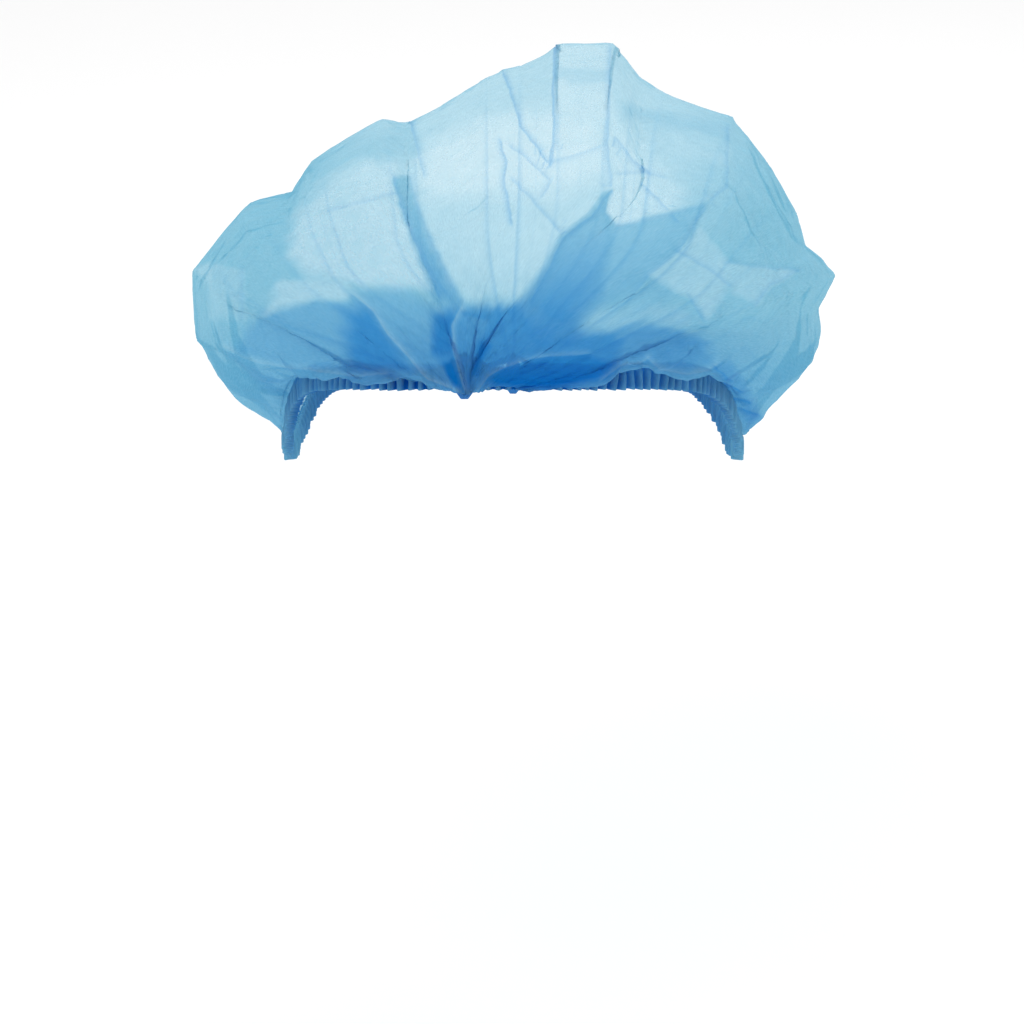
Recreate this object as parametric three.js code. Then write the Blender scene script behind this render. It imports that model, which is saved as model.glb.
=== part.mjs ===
// Disposable pleated hair cap, in the puffed form that it takes on a head. Units are millimetres.
//
// The cap is one thin nonwoven sheet, pleated from front to back. The pleat ends are welded into a
// small bundle at the forehead and another at the nape, and the two side edges are hemmed over
// elastic, which shirs them into ruffles. +Z is up, the front of the cap faces -Y, and the origin is
// the middle of the head opening.
//
// Every piece is worked out in the cap's own tilted frame: across is towards the wearer's left, along
// runs from the front weld to the back weld, and up stands square to both.
import * as THREE from "three";
import { LoftGeometry } from "three/addons/geometries/LoftGeometry.js";
import { mergeGeometries } from "three/addons/utils/BufferGeometryUtils.js";

const { lerp, smoothstep, degToRad } = THREE.MathUtils;

// Driving dimensions
const CAP_TILT = degToRad(20); // the opening drops from forehead to nape
const CLOTH_WALL = 1.1;
const PIECE_GAP = 0.3;

const OPENING_HALF_WIDTH = 81;
const OPENING_HALF_LENGTH = 98;
const OPENING_SQUARENESS = 2.35; // exponent of the opening's superellipse, where 2 is an ellipse
const HEM_WALL = 1.5; // the hem is the cloth folded double
const HEM_HEIGHT = 8.5;
const HEM_FRONT_TOP = 9.5; // the hem's upper edge at the welds
const HEM_SIDE_DROOP = 26; // how much lower that edge hangs beside the ears
const HEM_DROOP_POWER = 12; // it runs level over the forehead and drops late
const RUFFLE_PITCH = 3.3;
const RUFFLE_DEPTH = 0.9; // from the middle of the cloth to a crest
const SECTIONS_PER_RUFFLE = 4;
const HEM_CURVE_POINTS = 120;

const FRONT_WELD_ACROSS = -16; // the cap sits a little askew
const BACK_WELD_ACROSS = 0;
const WELD_WIDTH = 7;
const WELD_THICKNESS = 4.6;
const WELD_PLEATS = 8;
const WELD_PLEAT_DEPTH = 0.16; // share of the bundle's radius
const WELD_RING_POINTS = 4 * WELD_PLEATS;

const CROWN_RISE = 127; // from the line between the welds to the highest fold
const CROWN_STATIONS = 40;
const FAN_LIFT = 1.2; // the fan of folds springs from just above each weld
const SPREAD_SWELL = 0.62; // swell at which the folds over the top lie a full pleat apart
const PLEAT_DEPTH = 2.6; // the folds stand in and out by turns where they crowd towards a weld
const PLEAT_SWELL = 0.8; // swell at which those pleats are pulled flat
const CREST_CLEARANCE = 0.6;
const COLLAR_WIDTH = HEM_WALL / 2 + RUFFLE_DEPTH + CREST_CLEARANCE; // flat cloth over the hem's top
const ROLL_REACH = 34; // cloth that the hem pulls in before the crown swells freely
const SCALLOP_COUNT = 9; // bulges of the roll along each hem
const SCALLOP_DEPTH = 4;
const SCALLOP_REACH = 75; // the bulges die away at this distance over the cloth from the hem

// The crown's folds where the crown stands widest, from the right hem over the top to the left hem.
// lean sets a fold's belly back towards the nape.
const FOLDS = [
  { across: -86, up: -8, lean: 0 },
  { across: -101.5, up: 2, lean: 0 },
  { across: -110, up: 16, lean: 2 },
  { across: -114, up: 44, lean: 4 },
  { across: -110.5, up: 47.5, lean: 0 },
  { across: -94, up: 69, lean: -6 },
  { across: -79, up: 74, lean: -2 },
  { across: -72, up: 84, lean: -8 },
  { across: -47.5, up: 98.5, lean: -10 },
  { across: -37.5, up: 98, lean: -2 },
  { across: -9, up: 115.5, lean: 4 },
  { across: 3, up: 122.5, lean: 8 },
  { across: 17.5, up: 127, lean: 12 },
  { across: 37.5, up: 127, lean: 14 },
  { across: 46.5, up: 115.5, lean: 6 },
  { across: 56.5, up: 108.5, lean: 2 },
  { across: 81, up: 96.5, lean: -4 },
  { across: 90, up: 85.5, lean: -2 },
  { across: 99.5, up: 68, lean: 2 },
  { across: 105, up: 57.5, lean: 0 },
  { across: 114.5, up: 43, lean: 6 },
  { across: 106.5, up: 31, lean: 2 },
  { across: 107, up: 15, lean: 0 },
  { across: 95.5, up: 0, lean: 0 },
  { across: 92, up: -11, lean: 0 },
];

// How the folds swell from the front weld to the back weld. rise is that of the highest fold, and dip
// is how far the gathered cloth hangs below the weld.
const STATIONS = [
  { along: -101, rise: 4, dip: 0 },
  { along: -107.5, rise: 6, dip: 11.5 },
  { along: -113, rise: 18, dip: 10.5 },
  { along: -109, rise: 42, dip: 3 },
  { along: -91, rise: 70, dip: 0 },
  { along: -58, rise: 100, dip: 0 },
  { along: -18, rise: 119, dip: 0 },
  { along: 25, rise: CROWN_RISE, dip: 0 },
  { along: 72, rise: 116, dip: 0 },
  { along: 107, rise: 84, dip: 2 },
  { along: 123, rise: 46, dip: 7 },
  { along: 121, rise: 19, dip: 10 },
  { along: 110, rise: 8, dip: 6 },
  { along: 101, rise: 4, dip: 0 },
];

// Tucks pressed into the crown: the fold that sinks, how deep, and the shares of the way from the front
// weld to the back weld between which it does.
const TUCKS = [
  { fold: 9, depth: 7, from: 0.06, to: 0.42 },
  { fold: 11, depth: 3, from: 0.3, to: 0.62 },
  { fold: 14, depth: 8, from: 0.08, to: 0.42 },
  { fold: 19, depth: 4, from: 0.15, to: 0.6 },
];

// A bundle of welded pleat ends, from its lower tip up into the fan of folds. width and thickness are
// shares of the bundle's own, and lean is how far it tips out of the opening.
const WELD_SECTIONS = [
  { up: -2, width: 0.35, thickness: 0.6, lean: 0 },
  { up: 0, width: 0.8, thickness: 0.8, lean: 0 },
  { up: 2, width: 0.97, thickness: 0.9, lean: 0 },
  { up: 6.5, width: 1, thickness: 1, lean: 0.6 },
  { up: HEM_FRONT_TOP, width: 0.8, thickness: 0.9, lean: 1.5 },
  { up: 12, width: 0.5, thickness: 0.6, lean: 2 },
];

const FINISHES = {
  crown: { color: 0x9fd0e8, roughness: 0.75, metalness: 0 },
  hem: { color: 0x5fa6d3, roughness: 0.8, metalness: 0 },
  weld: { color: 0x2f7fbe, roughness: 0.6, metalness: 0 },
};

const UP = new THREE.Vector3(0, 0, 1);

// Sideways place of the line between the welds, for a share of the way from front to back.
function weldLineAcross(share) {
  return lerp(FRONT_WELD_ACROSS, BACK_WELD_ACROSS, smoothstep(share, 0, 1));
}

// The hem's upper edge on one side, from the front weld to the back weld. side is -1 on the wearer's
// right and 1 on the left.
function hemCurve(side) {
  const power = 2 / OPENING_SQUARENESS;
  const weldClearance = WELD_WIDTH / 2 + PIECE_GAP;
  const points = [];
  for (let i = 0; i <= HEM_CURVE_POINTS; i++) {
    const share = i / HEM_CURVE_POINTS;
    const turn = Math.sin(Math.PI * share);
    const reach = Math.cos(Math.PI * share);
    const middle = weldLineAcross(share) * (1 - turn);
    const across = middle + side * lerp(weldClearance, OPENING_HALF_WIDTH, turn ** power);
    const along = -OPENING_HALF_LENGTH * Math.sign(reach) * Math.abs(reach) ** power;
    const up = HEM_FRONT_TOP - HEM_SIDE_DROOP * turn ** HEM_DROOP_POWER;
    points.push(new THREE.Vector3(across, along, up));
  }
  return new THREE.CatmullRomCurve3(points);
}

const HEM_CURVES = { [-1]: hemCurve(-1), [1]: hemCurve(1) };

// A point of the hem's upper edge, and the level direction out of the opening there.
function hemFrame(side, share) {
  const point = HEM_CURVES[side].getPointAt(share);
  const outward = HEM_CURVES[side].getTangentAt(share).cross(UP).multiplyScalar(side).normalize();
  return { point, outward };
}

// A shirred band as a strip of even thickness that waves in and out under its upper edge.
function makeHem(side) {
  const ruffles = Math.round(HEM_CURVES[side].getLength() / RUFFLE_PITCH);
  const count = ruffles * SECTIONS_PER_RUFFLE;
  const sections = [];
  for (let i = 0; i <= count; i++) {
    const { point, outward } = hemFrame(side, i / count);
    const wave = RUFFLE_DEPTH * Math.sin((2 * Math.PI * i) / SECTIONS_PER_RUFFLE);
    const outer = point.clone().addScaledVector(outward, wave + HEM_WALL / 2);
    const inner = point.clone().addScaledVector(outward, wave - HEM_WALL / 2);
    const section = [
      outer.clone().addScaledVector(UP, -HEM_HEIGHT),
      outer,
      inner,
      inner.clone().addScaledVector(UP, -HEM_HEIGHT),
    ];
    sections.push(side < 0 ? section : section.reverse());
  }
  return new LoftGeometry(sections, { capStart: true, capEnd: true });
}

// A bundle of pleat ends pressed and welded together, about its own upright axis. end is -1 at the
// front of the cap and 1 at the back.
function makeWeld(end) {
  const sections = WELD_SECTIONS.map(({ up, width, thickness, lean }) => {
    const ring = [];
    for (let i = 0; i < WELD_RING_POINTS; i++) {
      const angle = (2 * Math.PI * i) / WELD_RING_POINTS;
      const pleat = 1 - WELD_PLEAT_DEPTH * (0.5 - 0.5 * Math.cos(WELD_PLEATS * angle));
      const across = (WELD_WIDTH / 2) * width * pleat * Math.cos(angle);
      const along = (WELD_THICKNESS / 2) * thickness * pleat * Math.sin(angle);
      ring.push(new THREE.Vector3(across, along + end * lean, up));
    }
    return ring;
  });
  return new LoftGeometry(sections, { capStart: true, capEnd: true });
}

// Distance of each fold from the nearer hem, over the cloth where the crown is widest.
function clothFromHem() {
  const hemUp = HEM_FRONT_TOP - HEM_SIDE_DROOP;
  const widest = [
    { across: -OPENING_HALF_WIDTH, up: hemUp },
    ...FOLDS,
    { across: OPENING_HALF_WIDTH, up: hemUp },
  ];
  const travelled = [0];
  for (let i = 1; i < widest.length; i++) {
    const step = Math.hypot(widest[i].across - widest[i - 1].across, widest[i].up - widest[i - 1].up);
    travelled.push(travelled[i - 1] + step);
  }
  const total = travelled.at(-1);
  return FOLDS.map((fold, i) => Math.min(travelled[i + 1], total - travelled[i + 1]));
}

const CLOTH_FROM_HEM = clothFromHem();
const SWELL_CURVE = new THREE.CatmullRomCurve3(
  STATIONS.map(({ along, rise, dip }) => new THREE.Vector3(dip, along, rise)),
);

// How far the tucks sink one fold, fading in and out along each tuck.
function tuckDepth(foldIndex, share) {
  let depth = 0;
  for (const tuck of TUCKS) {
    const way = (share - tuck.from) / (tuck.to - tuck.from);
    if (tuck.fold === foldIndex && way > 0 && way < 1) depth += tuck.depth * Math.sin(Math.PI * way);
  }
  return depth;
}

// How far one fold of the pleats that crowd towards a weld stands out, or in where it is negative.
function pleatStand(foldIndex, swell) {
  const crowding = Math.sin(Math.PI * Math.min(swell / PLEAT_SWELL, 1)) ** 2;
  return PLEAT_DEPTH * crowding * (foldIndex % 2 === 0 ? 1 : -1);
}

// How far the roll beside the hem bulges down at one fold.
function scallopDrop(foldIndex, share) {
  const reach = Math.min(CLOTH_FROM_HEM[foldIndex] / SCALLOP_REACH, 1);
  return SCALLOP_DEPTH * Math.sin(Math.PI * reach) * Math.cos(2 * Math.PI * SCALLOP_COUNT * share);
}

// How wide the opening is on one side, as a share of its width half way to the back weld.
function openness(side, share) {
  const width = (at) => Math.abs(HEM_CURVES[side].getPointAt(at).x - weldLineAcross(at));
  return Math.min(width(share) / width(0.5), 1);
}

// A point of one fold: the swollen crown, drawn in towards the collar where the hem is near.
function foldPoint(foldIndex, share) {
  const fold = FOLDS[foldIndex];
  const side = Math.sign(fold.across);
  const reach = Math.hypot(fold.across, fold.up);
  const station = SWELL_CURVE.getPointAt(share);
  const swell = station.z / CROWN_RISE;
  const spread = lerp(openness(side, share), smoothstep(swell, 0, SPREAD_SWELL), (fold.up / reach) ** 2);
  const drop = station.x + swell * scallopDrop(foldIndex, share);
  const tangent = SWELL_CURVE.getTangentAt(share);
  const stand = pleatStand(foldIndex, swell) - tuckDepth(foldIndex, share);
  const standOut = (tangent.y * stand) / reach;
  const free = new THREE.Vector3(
    weldLineAcross(share) * (1 - spread) + fold.across * (spread + standOut),
    station.y + fold.lean * swell - tangent.z * stand,
    (HEM_FRONT_TOP + FAN_LIFT) * (1 - swell) + fold.up * (swell + standOut) - drop,
  );
  const collar = collarPoints(side, share)[1];
  return free.lerp(collar, 1 - smoothstep(CLOTH_FROM_HEM[foldIndex], 0, ROLL_REACH));
}

// The crown's edge above the hem, and where its cloth leaves the hem's top.
function collarPoints(side, share) {
  const { point, outward } = hemFrame(side, share);
  const edge = point.addScaledVector(UP, PIECE_GAP);
  return [edge, edge.clone().addScaledVector(outward, COLLAR_WIDTH).addScaledVector(UP, PIECE_GAP)];
}

function crownRow(share) {
  const folds = FOLDS.map((fold, index) => foldPoint(index, share));
  return [...collarPoints(-1, share), ...folds, ...collarPoints(1, share).reverse()];
}

// Direction out of the crown at one of its points, from the neighbours over the folds and along them.
function crownNormal(rows, rowIndex, index) {
  const row = rows[rowIndex];
  const before = row[Math.max(index - 1, 0)];
  const after = row[Math.min(index + 1, row.length - 1)];
  const behind = rows[Math.max(rowIndex - 1, 0)][index];
  const ahead = rows[Math.min(rowIndex + 1, rows.length - 1)][index];
  const alongFold = new THREE.Vector3().subVectors(ahead, behind);
  return new THREE.Vector3().subVectors(after, before).cross(alongFold).normalize();
}

// The edge of a grid of points, once round.
function gridEdge(rows) {
  const middle = rows.slice(1, -1);
  const leftSide = middle.map((row) => row.at(-1));
  const rightSide = middle.map((row) => row[0]).reverse();
  return [...rows[0], ...leftSide, ...rows.at(-1).toReversed(), ...rightSide];
}

// The pleated sheet as a wall of even thickness: its outside, its inside and the rim between them.
function makeCrown() {
  const rows = [];
  for (let i = 0; i <= CROWN_STATIONS; i++) rows.push(crownRow(i / CROWN_STATIONS));
  const insideRows = rows.map((row, rowIndex) =>
    row.map((point, index) => point.clone().addScaledVector(crownNormal(rows, rowIndex, index), -CLOTH_WALL)),
  );
  const outside = new LoftGeometry(rows, { closed: false });
  const inside = new LoftGeometry(insideRows.map((row) => row.toReversed()), { closed: false });
  const rim = new LoftGeometry([gridEdge(insideRows), gridEdge(rows)]);
  return mergeGeometries([outside, inside, rim]);
}

function makePiece(name, geometry, finish) {
  const piece = new THREE.Mesh(geometry, new THREE.MeshStandardMaterial(finish));
  piece.name = name;
  return piece;
}

const frontGather = makePiece("front_gather", makeWeld(-1), FINISHES.weld);
frontGather.position.set(FRONT_WELD_ACROSS, -OPENING_HALF_LENGTH, 0);

const backGather = makePiece("back_gather", makeWeld(1), FINISHES.weld);
backGather.position.set(BACK_WELD_ACROSS, OPENING_HALF_LENGTH, 0);

const cap = new THREE.Group();
cap.rotation.x = -CAP_TILT;
cap.add(makePiece("crown", makeCrown(), FINISHES.crown));
cap.add(makePiece("elastic_hem_right", makeHem(-1), FINISHES.hem));
cap.add(makePiece("elastic_hem_left", makeHem(1), FINISHES.hem));
cap.add(frontGather, backGather);

const group = new THREE.Group();
group.add(cap);

export default group;
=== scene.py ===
"""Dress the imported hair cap: pleated nonwoven, shirred elastic hems and welded pleat ends.

Lengths are metres in the part's own frame, with +Z up and the front of the cap towards -Y. The shapes
are worked out in the cap's tilted frame first: across is towards the wearer's left, along runs from the
front weld to the back weld, and up stands square to both.
"""
import logging
import math
from dataclasses import dataclass, field
from enum import Enum

import bmesh
import bpy
import numpy as np
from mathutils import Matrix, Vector


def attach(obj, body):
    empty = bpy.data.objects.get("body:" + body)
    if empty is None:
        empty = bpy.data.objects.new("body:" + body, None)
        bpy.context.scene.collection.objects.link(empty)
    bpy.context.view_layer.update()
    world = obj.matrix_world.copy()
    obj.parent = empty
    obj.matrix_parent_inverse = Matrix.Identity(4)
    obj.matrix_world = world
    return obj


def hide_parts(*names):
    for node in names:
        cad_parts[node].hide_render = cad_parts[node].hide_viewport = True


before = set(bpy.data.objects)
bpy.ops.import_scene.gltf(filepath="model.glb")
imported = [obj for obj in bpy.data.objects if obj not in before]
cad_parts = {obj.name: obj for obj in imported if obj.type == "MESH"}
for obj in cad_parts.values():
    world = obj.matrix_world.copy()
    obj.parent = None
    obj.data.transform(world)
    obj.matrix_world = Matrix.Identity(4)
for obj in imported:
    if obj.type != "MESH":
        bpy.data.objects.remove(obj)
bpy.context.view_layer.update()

LOG = logging.getLogger("hair_cap")
ROOT_BODY = "root"
CLOTH_MAP = "cloth"
FULL_TURN = 2 * math.pi
MM = 0.001
TINY = 1e-9
# An edge and a collar stand before the first fold of the crown and after its last.
EDGE_LINES = 2


class Side(Enum):
    """A side of the cap as its wearer has it, with the sign of its X."""

    RIGHT = -1
    LEFT = 1


class End(Enum):
    """An end of the pleats, with the sign of its Y."""

    FRONT = -1
    BACK = 1


class Lay(Enum):
    """The way that a folded edge points over the cloth beside it."""

    TO_RIGHT = -1
    TO_LEFT = 1


def mix(start: np.ndarray, end: np.ndarray, share: np.ndarray) -> np.ndarray:
    """Blend linearly from start to end."""
    return start + (end - start) * share


def ease(value: np.ndarray, low: float, high: float) -> np.ndarray:
    """Rise smoothly from 0 at low to 1 at high."""
    share = np.clip((np.asarray(value) - low) / (high - low), 0.0, 1.0)
    return share * share * (3 - 2 * share)


def smooth_path(points: np.ndarray, steps: int) -> np.ndarray:
    """Sample a centripetal Catmull-Rom curve.

    Args:
        points: the points that the curve passes through.
        steps: samples between two of them.

    Returns:
        The curve's samples, the last point included.
    """
    reach = np.vstack([2 * points[0] - points[1], points, 2 * points[-1] - points[-2]])
    way = np.linspace(0, 1, steps, endpoint=False)[:, None]
    spans = []
    for before, start, end, after in zip(reach, reach[1:], reach[2:], reach[3:]):
        lead, step, trail = (
            math.sqrt(np.linalg.norm(b - a)) for a, b in ((before, start), (start, end), (end, after))
        )
        leaving = ((start - before) / lead - (end - before) / (lead + step) + (end - start) / step) * step
        arriving = ((end - start) / step - (after - start) / (step + trail) + (after - end) / trail) * step
        square = 3 * (end - start) - 2 * leaving - arriving
        cube = 2 * (start - end) + leaving + arriving
        spans.append(start + leaving * way + square * way**2 + cube * way**3)
    return np.vstack([*spans, points[-1:]])


def travelled(points: np.ndarray, axis: int = 0) -> np.ndarray:
    """Measure the way over a line of points.

    Args:
        points: an array of points, with X, Y and Z last.
        axis: the axis that the line runs along.

    Returns:
        The length from the first point to each point.
    """
    steps = np.linalg.norm(np.diff(points, axis=axis), axis=-1)
    start = np.zeros_like(np.take(steps, [0], axis=axis))
    return np.concatenate([start, np.cumsum(steps, axis=axis)], axis=axis)


def at_lengths(line: np.ndarray, marks: np.ndarray, wanted: np.ndarray) -> np.ndarray:
    """Read a line of values at other places along it.

    Args:
        line: values along the line, several columns wide.
        marks: the place of each of those values.
        wanted: the places to read.

    Returns:
        The values there, with as many columns.
    """
    return np.stack([np.interp(wanted, marks, column) for column in line.T], axis=-1)


def unit(vectors: np.ndarray) -> np.ndarray:
    """Scale vectors to a length of one."""
    return vectors / np.maximum(np.linalg.norm(vectors, axis=-1, keepdims=True), TINY * MM)


def from_line(places: np.ndarray, line: np.ndarray) -> tuple[np.ndarray, np.ndarray]:
    """Measure flat places from a line of points.

    Args:
        places: any number of places, with two values last.
        line: the line's points.

    Returns:
        The distance to the line, negative on its right as it is followed, and how far past its ends.
    """
    nearest = np.full(places.shape[:-1], np.inf)
    signed = np.zeros(places.shape[:-1])
    beyond = np.zeros(places.shape[:-1])
    for start, end in zip(line, line[1:]):
        step = end - start
        length = np.linalg.norm(step)
        away = places - start
        along = away @ step / length
        square = (away[..., 1] * step[0] - away[..., 0] * step[1]) / length
        past = np.maximum(np.maximum(-along, along - length), 0)
        distance = np.hypot(square, past)
        closer = distance < nearest
        nearest = np.where(closer, distance, nearest)
        signed = np.where(closer, square, signed)
        beyond = np.where(closer, past, beyond)
    return signed, beyond


def depth_within(places: np.ndarray, outline: np.ndarray) -> np.ndarray:
    """Measure how deep flat places lie inside an outline.

    Args:
        places: any number of places, with two values last.
        outline: the outline's corners in order.

    Returns:
        The distance to the outline, negative outside it.
    """
    nearest = np.full(places.shape[:-1], np.inf)
    inside = np.zeros(places.shape[:-1], dtype=bool)
    for start, end in zip(outline, np.roll(outline, -1, axis=0)):
        square, past = from_line(places, np.array([start, end]))
        nearest = np.minimum(nearest, np.hypot(square, past))
        spans = (start[1] > places[..., 1]) != (end[1] > places[..., 1])
        inside ^= spans & ((square > 0) == (end[1] < start[1]))
    return np.where(inside, nearest, -nearest)


def sheet_normals(points: np.ndarray) -> np.ndarray:
    """Directions out of a sheet whose rows run from front to back and columns from right to left."""
    return unit(np.cross(np.gradient(points, axis=1), np.gradient(points, axis=0)))


def soft_noise(rows: int, columns: int, cells: tuple[int, int], seed: int) -> np.ndarray:
    """Make smooth random values between about -1 and 1.

    Args:
        rows: rows of the result.
        columns: columns of the result.
        cells: random values down and across, which the result passes smoothly between.
        seed: seed of the random draw.

    Returns:
        The values, rows by columns.
    """
    coarse = np.random.default_rng(seed).uniform(-1, 1, (cells[0] + 1, cells[1] + 1))
    for count in (rows, columns):
        place = np.linspace(0, coarse.shape[0] - 1, count)
        cell = np.minimum(place.astype(int), coarse.shape[0] - 2)
        share = ease(place - cell, 0, 1)[:, None]
        coarse = mix(coarse[cell], coarse[cell + 1], share).T
    return coarse


def blurred(values: np.ndarray, reach: int) -> np.ndarray:
    """Average a grid of values over a square of neighbours, twice.

    Args:
        values: rows by columns of values.
        reach: neighbours on each side.

    Returns:
        The averaged values.
    """
    for axis in (0, 1, 0, 1):
        pads = [(reach + 1, reach) if k == axis else (0, 0) for k in range(values.ndim)]
        total = np.cumsum(np.pad(values, pads, mode="edge"), axis=axis)
        span = 2 * reach + 1
        count = total.shape[axis] - span
        values = (np.take(total, range(span, span + count), axis) - np.take(total, range(count), axis)) / span
    return values


def sheet_object(name: str, points: np.ndarray, cloth: np.ndarray) -> bpy.types.Object:
    """Shape a flat grid of faces into a sheet.

    Args:
        name: the piece's name.
        points: the sheet's points in the part's frame, rows by columns.
        cloth: each point's place on the cut cloth, which becomes the piece's own map.

    Returns:
        The new object, at the origin.
    """
    rows, columns = points.shape[:2]
    shape = bmesh.new()
    bmesh.ops.create_grid(shape, x_segments=columns - 1, y_segments=rows - 1, size=0.5)
    mesh = bpy.data.meshes.new(name)
    shape.to_mesh(mesh)
    shape.free()
    flat = np.empty(3 * len(mesh.vertices))
    mesh.vertices.foreach_get("co", flat)
    flat = flat.reshape(-1, 3) + 0.5
    column = np.rint(flat[:, 0] * (columns - 1)).astype(int)
    row = np.rint(flat[:, 1] * (rows - 1)).astype(int)
    mesh.vertices.foreach_set("co", points[row, column].ravel())
    corners = np.empty(len(mesh.loops), dtype=np.int32)
    mesh.loops.foreach_get("vertex_index", corners)
    layer = mesh.uv_layers.new(name=CLOTH_MAP)
    layer.data.foreach_set("uv", cloth[row, column][corners].ravel())
    mesh.shade_smooth()
    mesh.update()
    piece = bpy.data.objects.new(name, mesh)
    bpy.context.scene.collection.objects.link(piece)
    return piece


def paint(piece: bpy.types.Object, name: str, values: np.ndarray) -> None:
    """Store a value at each point of a sheet, for its finish to read.

    Args:
        piece: a piece made by sheet_object.
        name: the attribute's name.
        values: rows by columns, as the sheet's points were.
    """
    attribute = piece.data.attributes.new(name, "FLOAT", "POINT")
    attribute.data.foreach_set("value", values.astype(np.float32).ravel())


def settle(piece: bpy.types.Object, node: str) -> None:
    """Let a finished piece stand for its solid and ride with it.

    Args:
        piece: the finished piece.
        node: the solid's name.
    """
    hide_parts(node)
    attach(piece, ROOT_BODY)


@dataclass(frozen=True)
class Opening:
    """The cap's opening: its edge above the hems and the line between the welds."""

    tilt: float = math.radians(20)
    half_width: float = 0.081
    half_length: float = 0.098
    squareness: float = 2.35
    hem_top: float = 0.0095
    side_droop: float = 0.026
    droop_power: float = 12.0
    front_weld: float = -0.016
    back_weld: float = 0.0
    weld_clearance: float = 0.0038
    curve_points: int = 120
    curve_steps: int = 8

    def weld_line(self, share: np.ndarray) -> np.ndarray:
        """Sideways place of the line between the welds."""
        return mix(self.front_weld, self.back_weld, ease(share, 0, 1))

    def edge(self, side: Side, shares: np.ndarray) -> tuple[np.ndarray, np.ndarray]:
        """Follow a hem's upper edge from the front weld to the back weld.

        Args:
            side: which hem.
            shares: shares of the way along it.

        Returns:
            The points there, and the level directions out of the opening.
        """
        share = np.linspace(0, 1, self.curve_points + 1)
        power = 2 / self.squareness
        turn = np.sin(math.pi * share)
        reach = np.cos(math.pi * share)
        half = mix(self.weld_clearance, self.half_width, turn**power)
        across = self.weld_line(share) * (1 - turn) + side.value * half
        along = -self.half_length * np.sign(reach) * np.abs(reach) ** power
        up = self.hem_top - self.side_droop * turn**self.droop_power
        path = smooth_path(np.stack([across, along, up], axis=-1), self.curve_steps)
        marks = travelled(path)
        tangents = np.gradient(path, marks, axis=0)
        outward = unit(side.value * np.stack([tangents[:, 1], -tangents[:, 0], 0 * marks], axis=-1))
        wanted = shares * marks[-1]
        return at_lengths(path, marks, wanted), unit(at_lengths(outward, marks, wanted))

    def length(self, side: Side) -> float:
        """Length of a hem."""
        return travelled(self.edge(side, np.linspace(0, 1, self.curve_points + 1))[0])[-1]

    def to_part(self, points: np.ndarray) -> np.ndarray:
        """Turn points from the cap's tilted frame into the part's frame.

        Args:
            points: any number of points, with across, along and up last.

        Returns:
            The same points, with X, Y and Z last.
        """
        across, along, up = np.moveaxis(points, -1, 0)
        cosine = math.cos(self.tilt)
        sine = math.sin(self.tilt)
        return np.stack([across, along * cosine + up * sine, up * cosine - along * sine], axis=-1)


@dataclass(frozen=True)
class Fold:
    """One fold of the crown where the crown stands widest; lean sets its belly back."""

    across: float
    up: float
    lean: float


@dataclass(frozen=True)
class Station:
    """A stage of the crown's swell: place along, rise of the highest fold, dip of the gathered cloth."""

    along: float
    rise: float
    dip: float


@dataclass(frozen=True)
class Crease:
    """A fold that lies over itself between two shares of the way from the front weld to the back."""

    fold: int
    lay: Lay
    overlap: float
    start: float
    end: float


FOLDS = (
    Fold(-0.0860, -0.0080, 0.0000),
    Fold(-0.1015, 0.0020, 0.0000),
    Fold(-0.1086, 0.0160, 0.0020),
    Fold(-0.1120, 0.0460, 0.0040),
    Fold(-0.1105, 0.0475, 0.0000),
    Fold(-0.0940, 0.0690, -0.0060),
    Fold(-0.0790, 0.0740, -0.0020),
    Fold(-0.0720, 0.0840, -0.0080),
    Fold(-0.0475, 0.0985, -0.0100),
    Fold(-0.0375, 0.0980, -0.0020),
    Fold(-0.0090, 0.1155, 0.0040),
    Fold(0.0030, 0.1225, 0.0080),
    Fold(0.0175, 0.1270, 0.0120),
    Fold(0.0375, 0.1270, 0.0140),
    Fold(0.0465, 0.1155, 0.0060),
    Fold(0.0565, 0.1085, 0.0020),
    Fold(0.0810, 0.0965, -0.0040),
    Fold(0.0900, 0.0855, -0.0020),
    Fold(0.0995, 0.0680, 0.0020),
    Fold(0.1050, 0.0575, 0.0000),
    Fold(0.1128, 0.0445, 0.0060),
    Fold(0.1065, 0.0310, 0.0020),
    Fold(0.1070, 0.0150, 0.0000),
    Fold(0.0955, 0.0000, 0.0000),
    Fold(0.0920, -0.0110, 0.0000),
)

STATIONS = (
    Station(-0.101, 0.004, 0.000),
    Station(-0.1075, 0.006, 0.0115),
    Station(-0.113, 0.018, 0.0105),
    Station(-0.109, 0.042, 0.003),
    Station(-0.091, 0.070, 0.000),
    Station(-0.058, 0.100, 0.000),
    Station(-0.018, 0.119, 0.000),
    Station(0.025, 0.127, 0.000),
    Station(0.072, 0.116, 0.000),
    Station(0.107, 0.084, 0.002),
    Station(0.123, 0.046, 0.007),
    Station(0.121, 0.019, 0.010),
    Station(0.110, 0.008, 0.006),
    Station(0.101, 0.004, 0.000),
)

CREASES = (
    Crease(12, Lay.TO_RIGHT, 0.0014, 0.42, 0.75),
    Crease(13, Lay.TO_LEFT, 0.0014, 0.40, 0.75),
)


@dataclass(frozen=True)
class Tuck:
    """A dent along one fold, between two shares of the way from the front weld to the back."""

    fold: int
    depth: float
    start: float
    end: float


TUCKS = (
    Tuck(9, 0.007, 0.06, 0.42),
    Tuck(11, 0.003, 0.30, 0.62),
    Tuck(14, 0.008, 0.08, 0.42),
    Tuck(19, 0.004, 0.15, 0.60),
)


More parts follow.
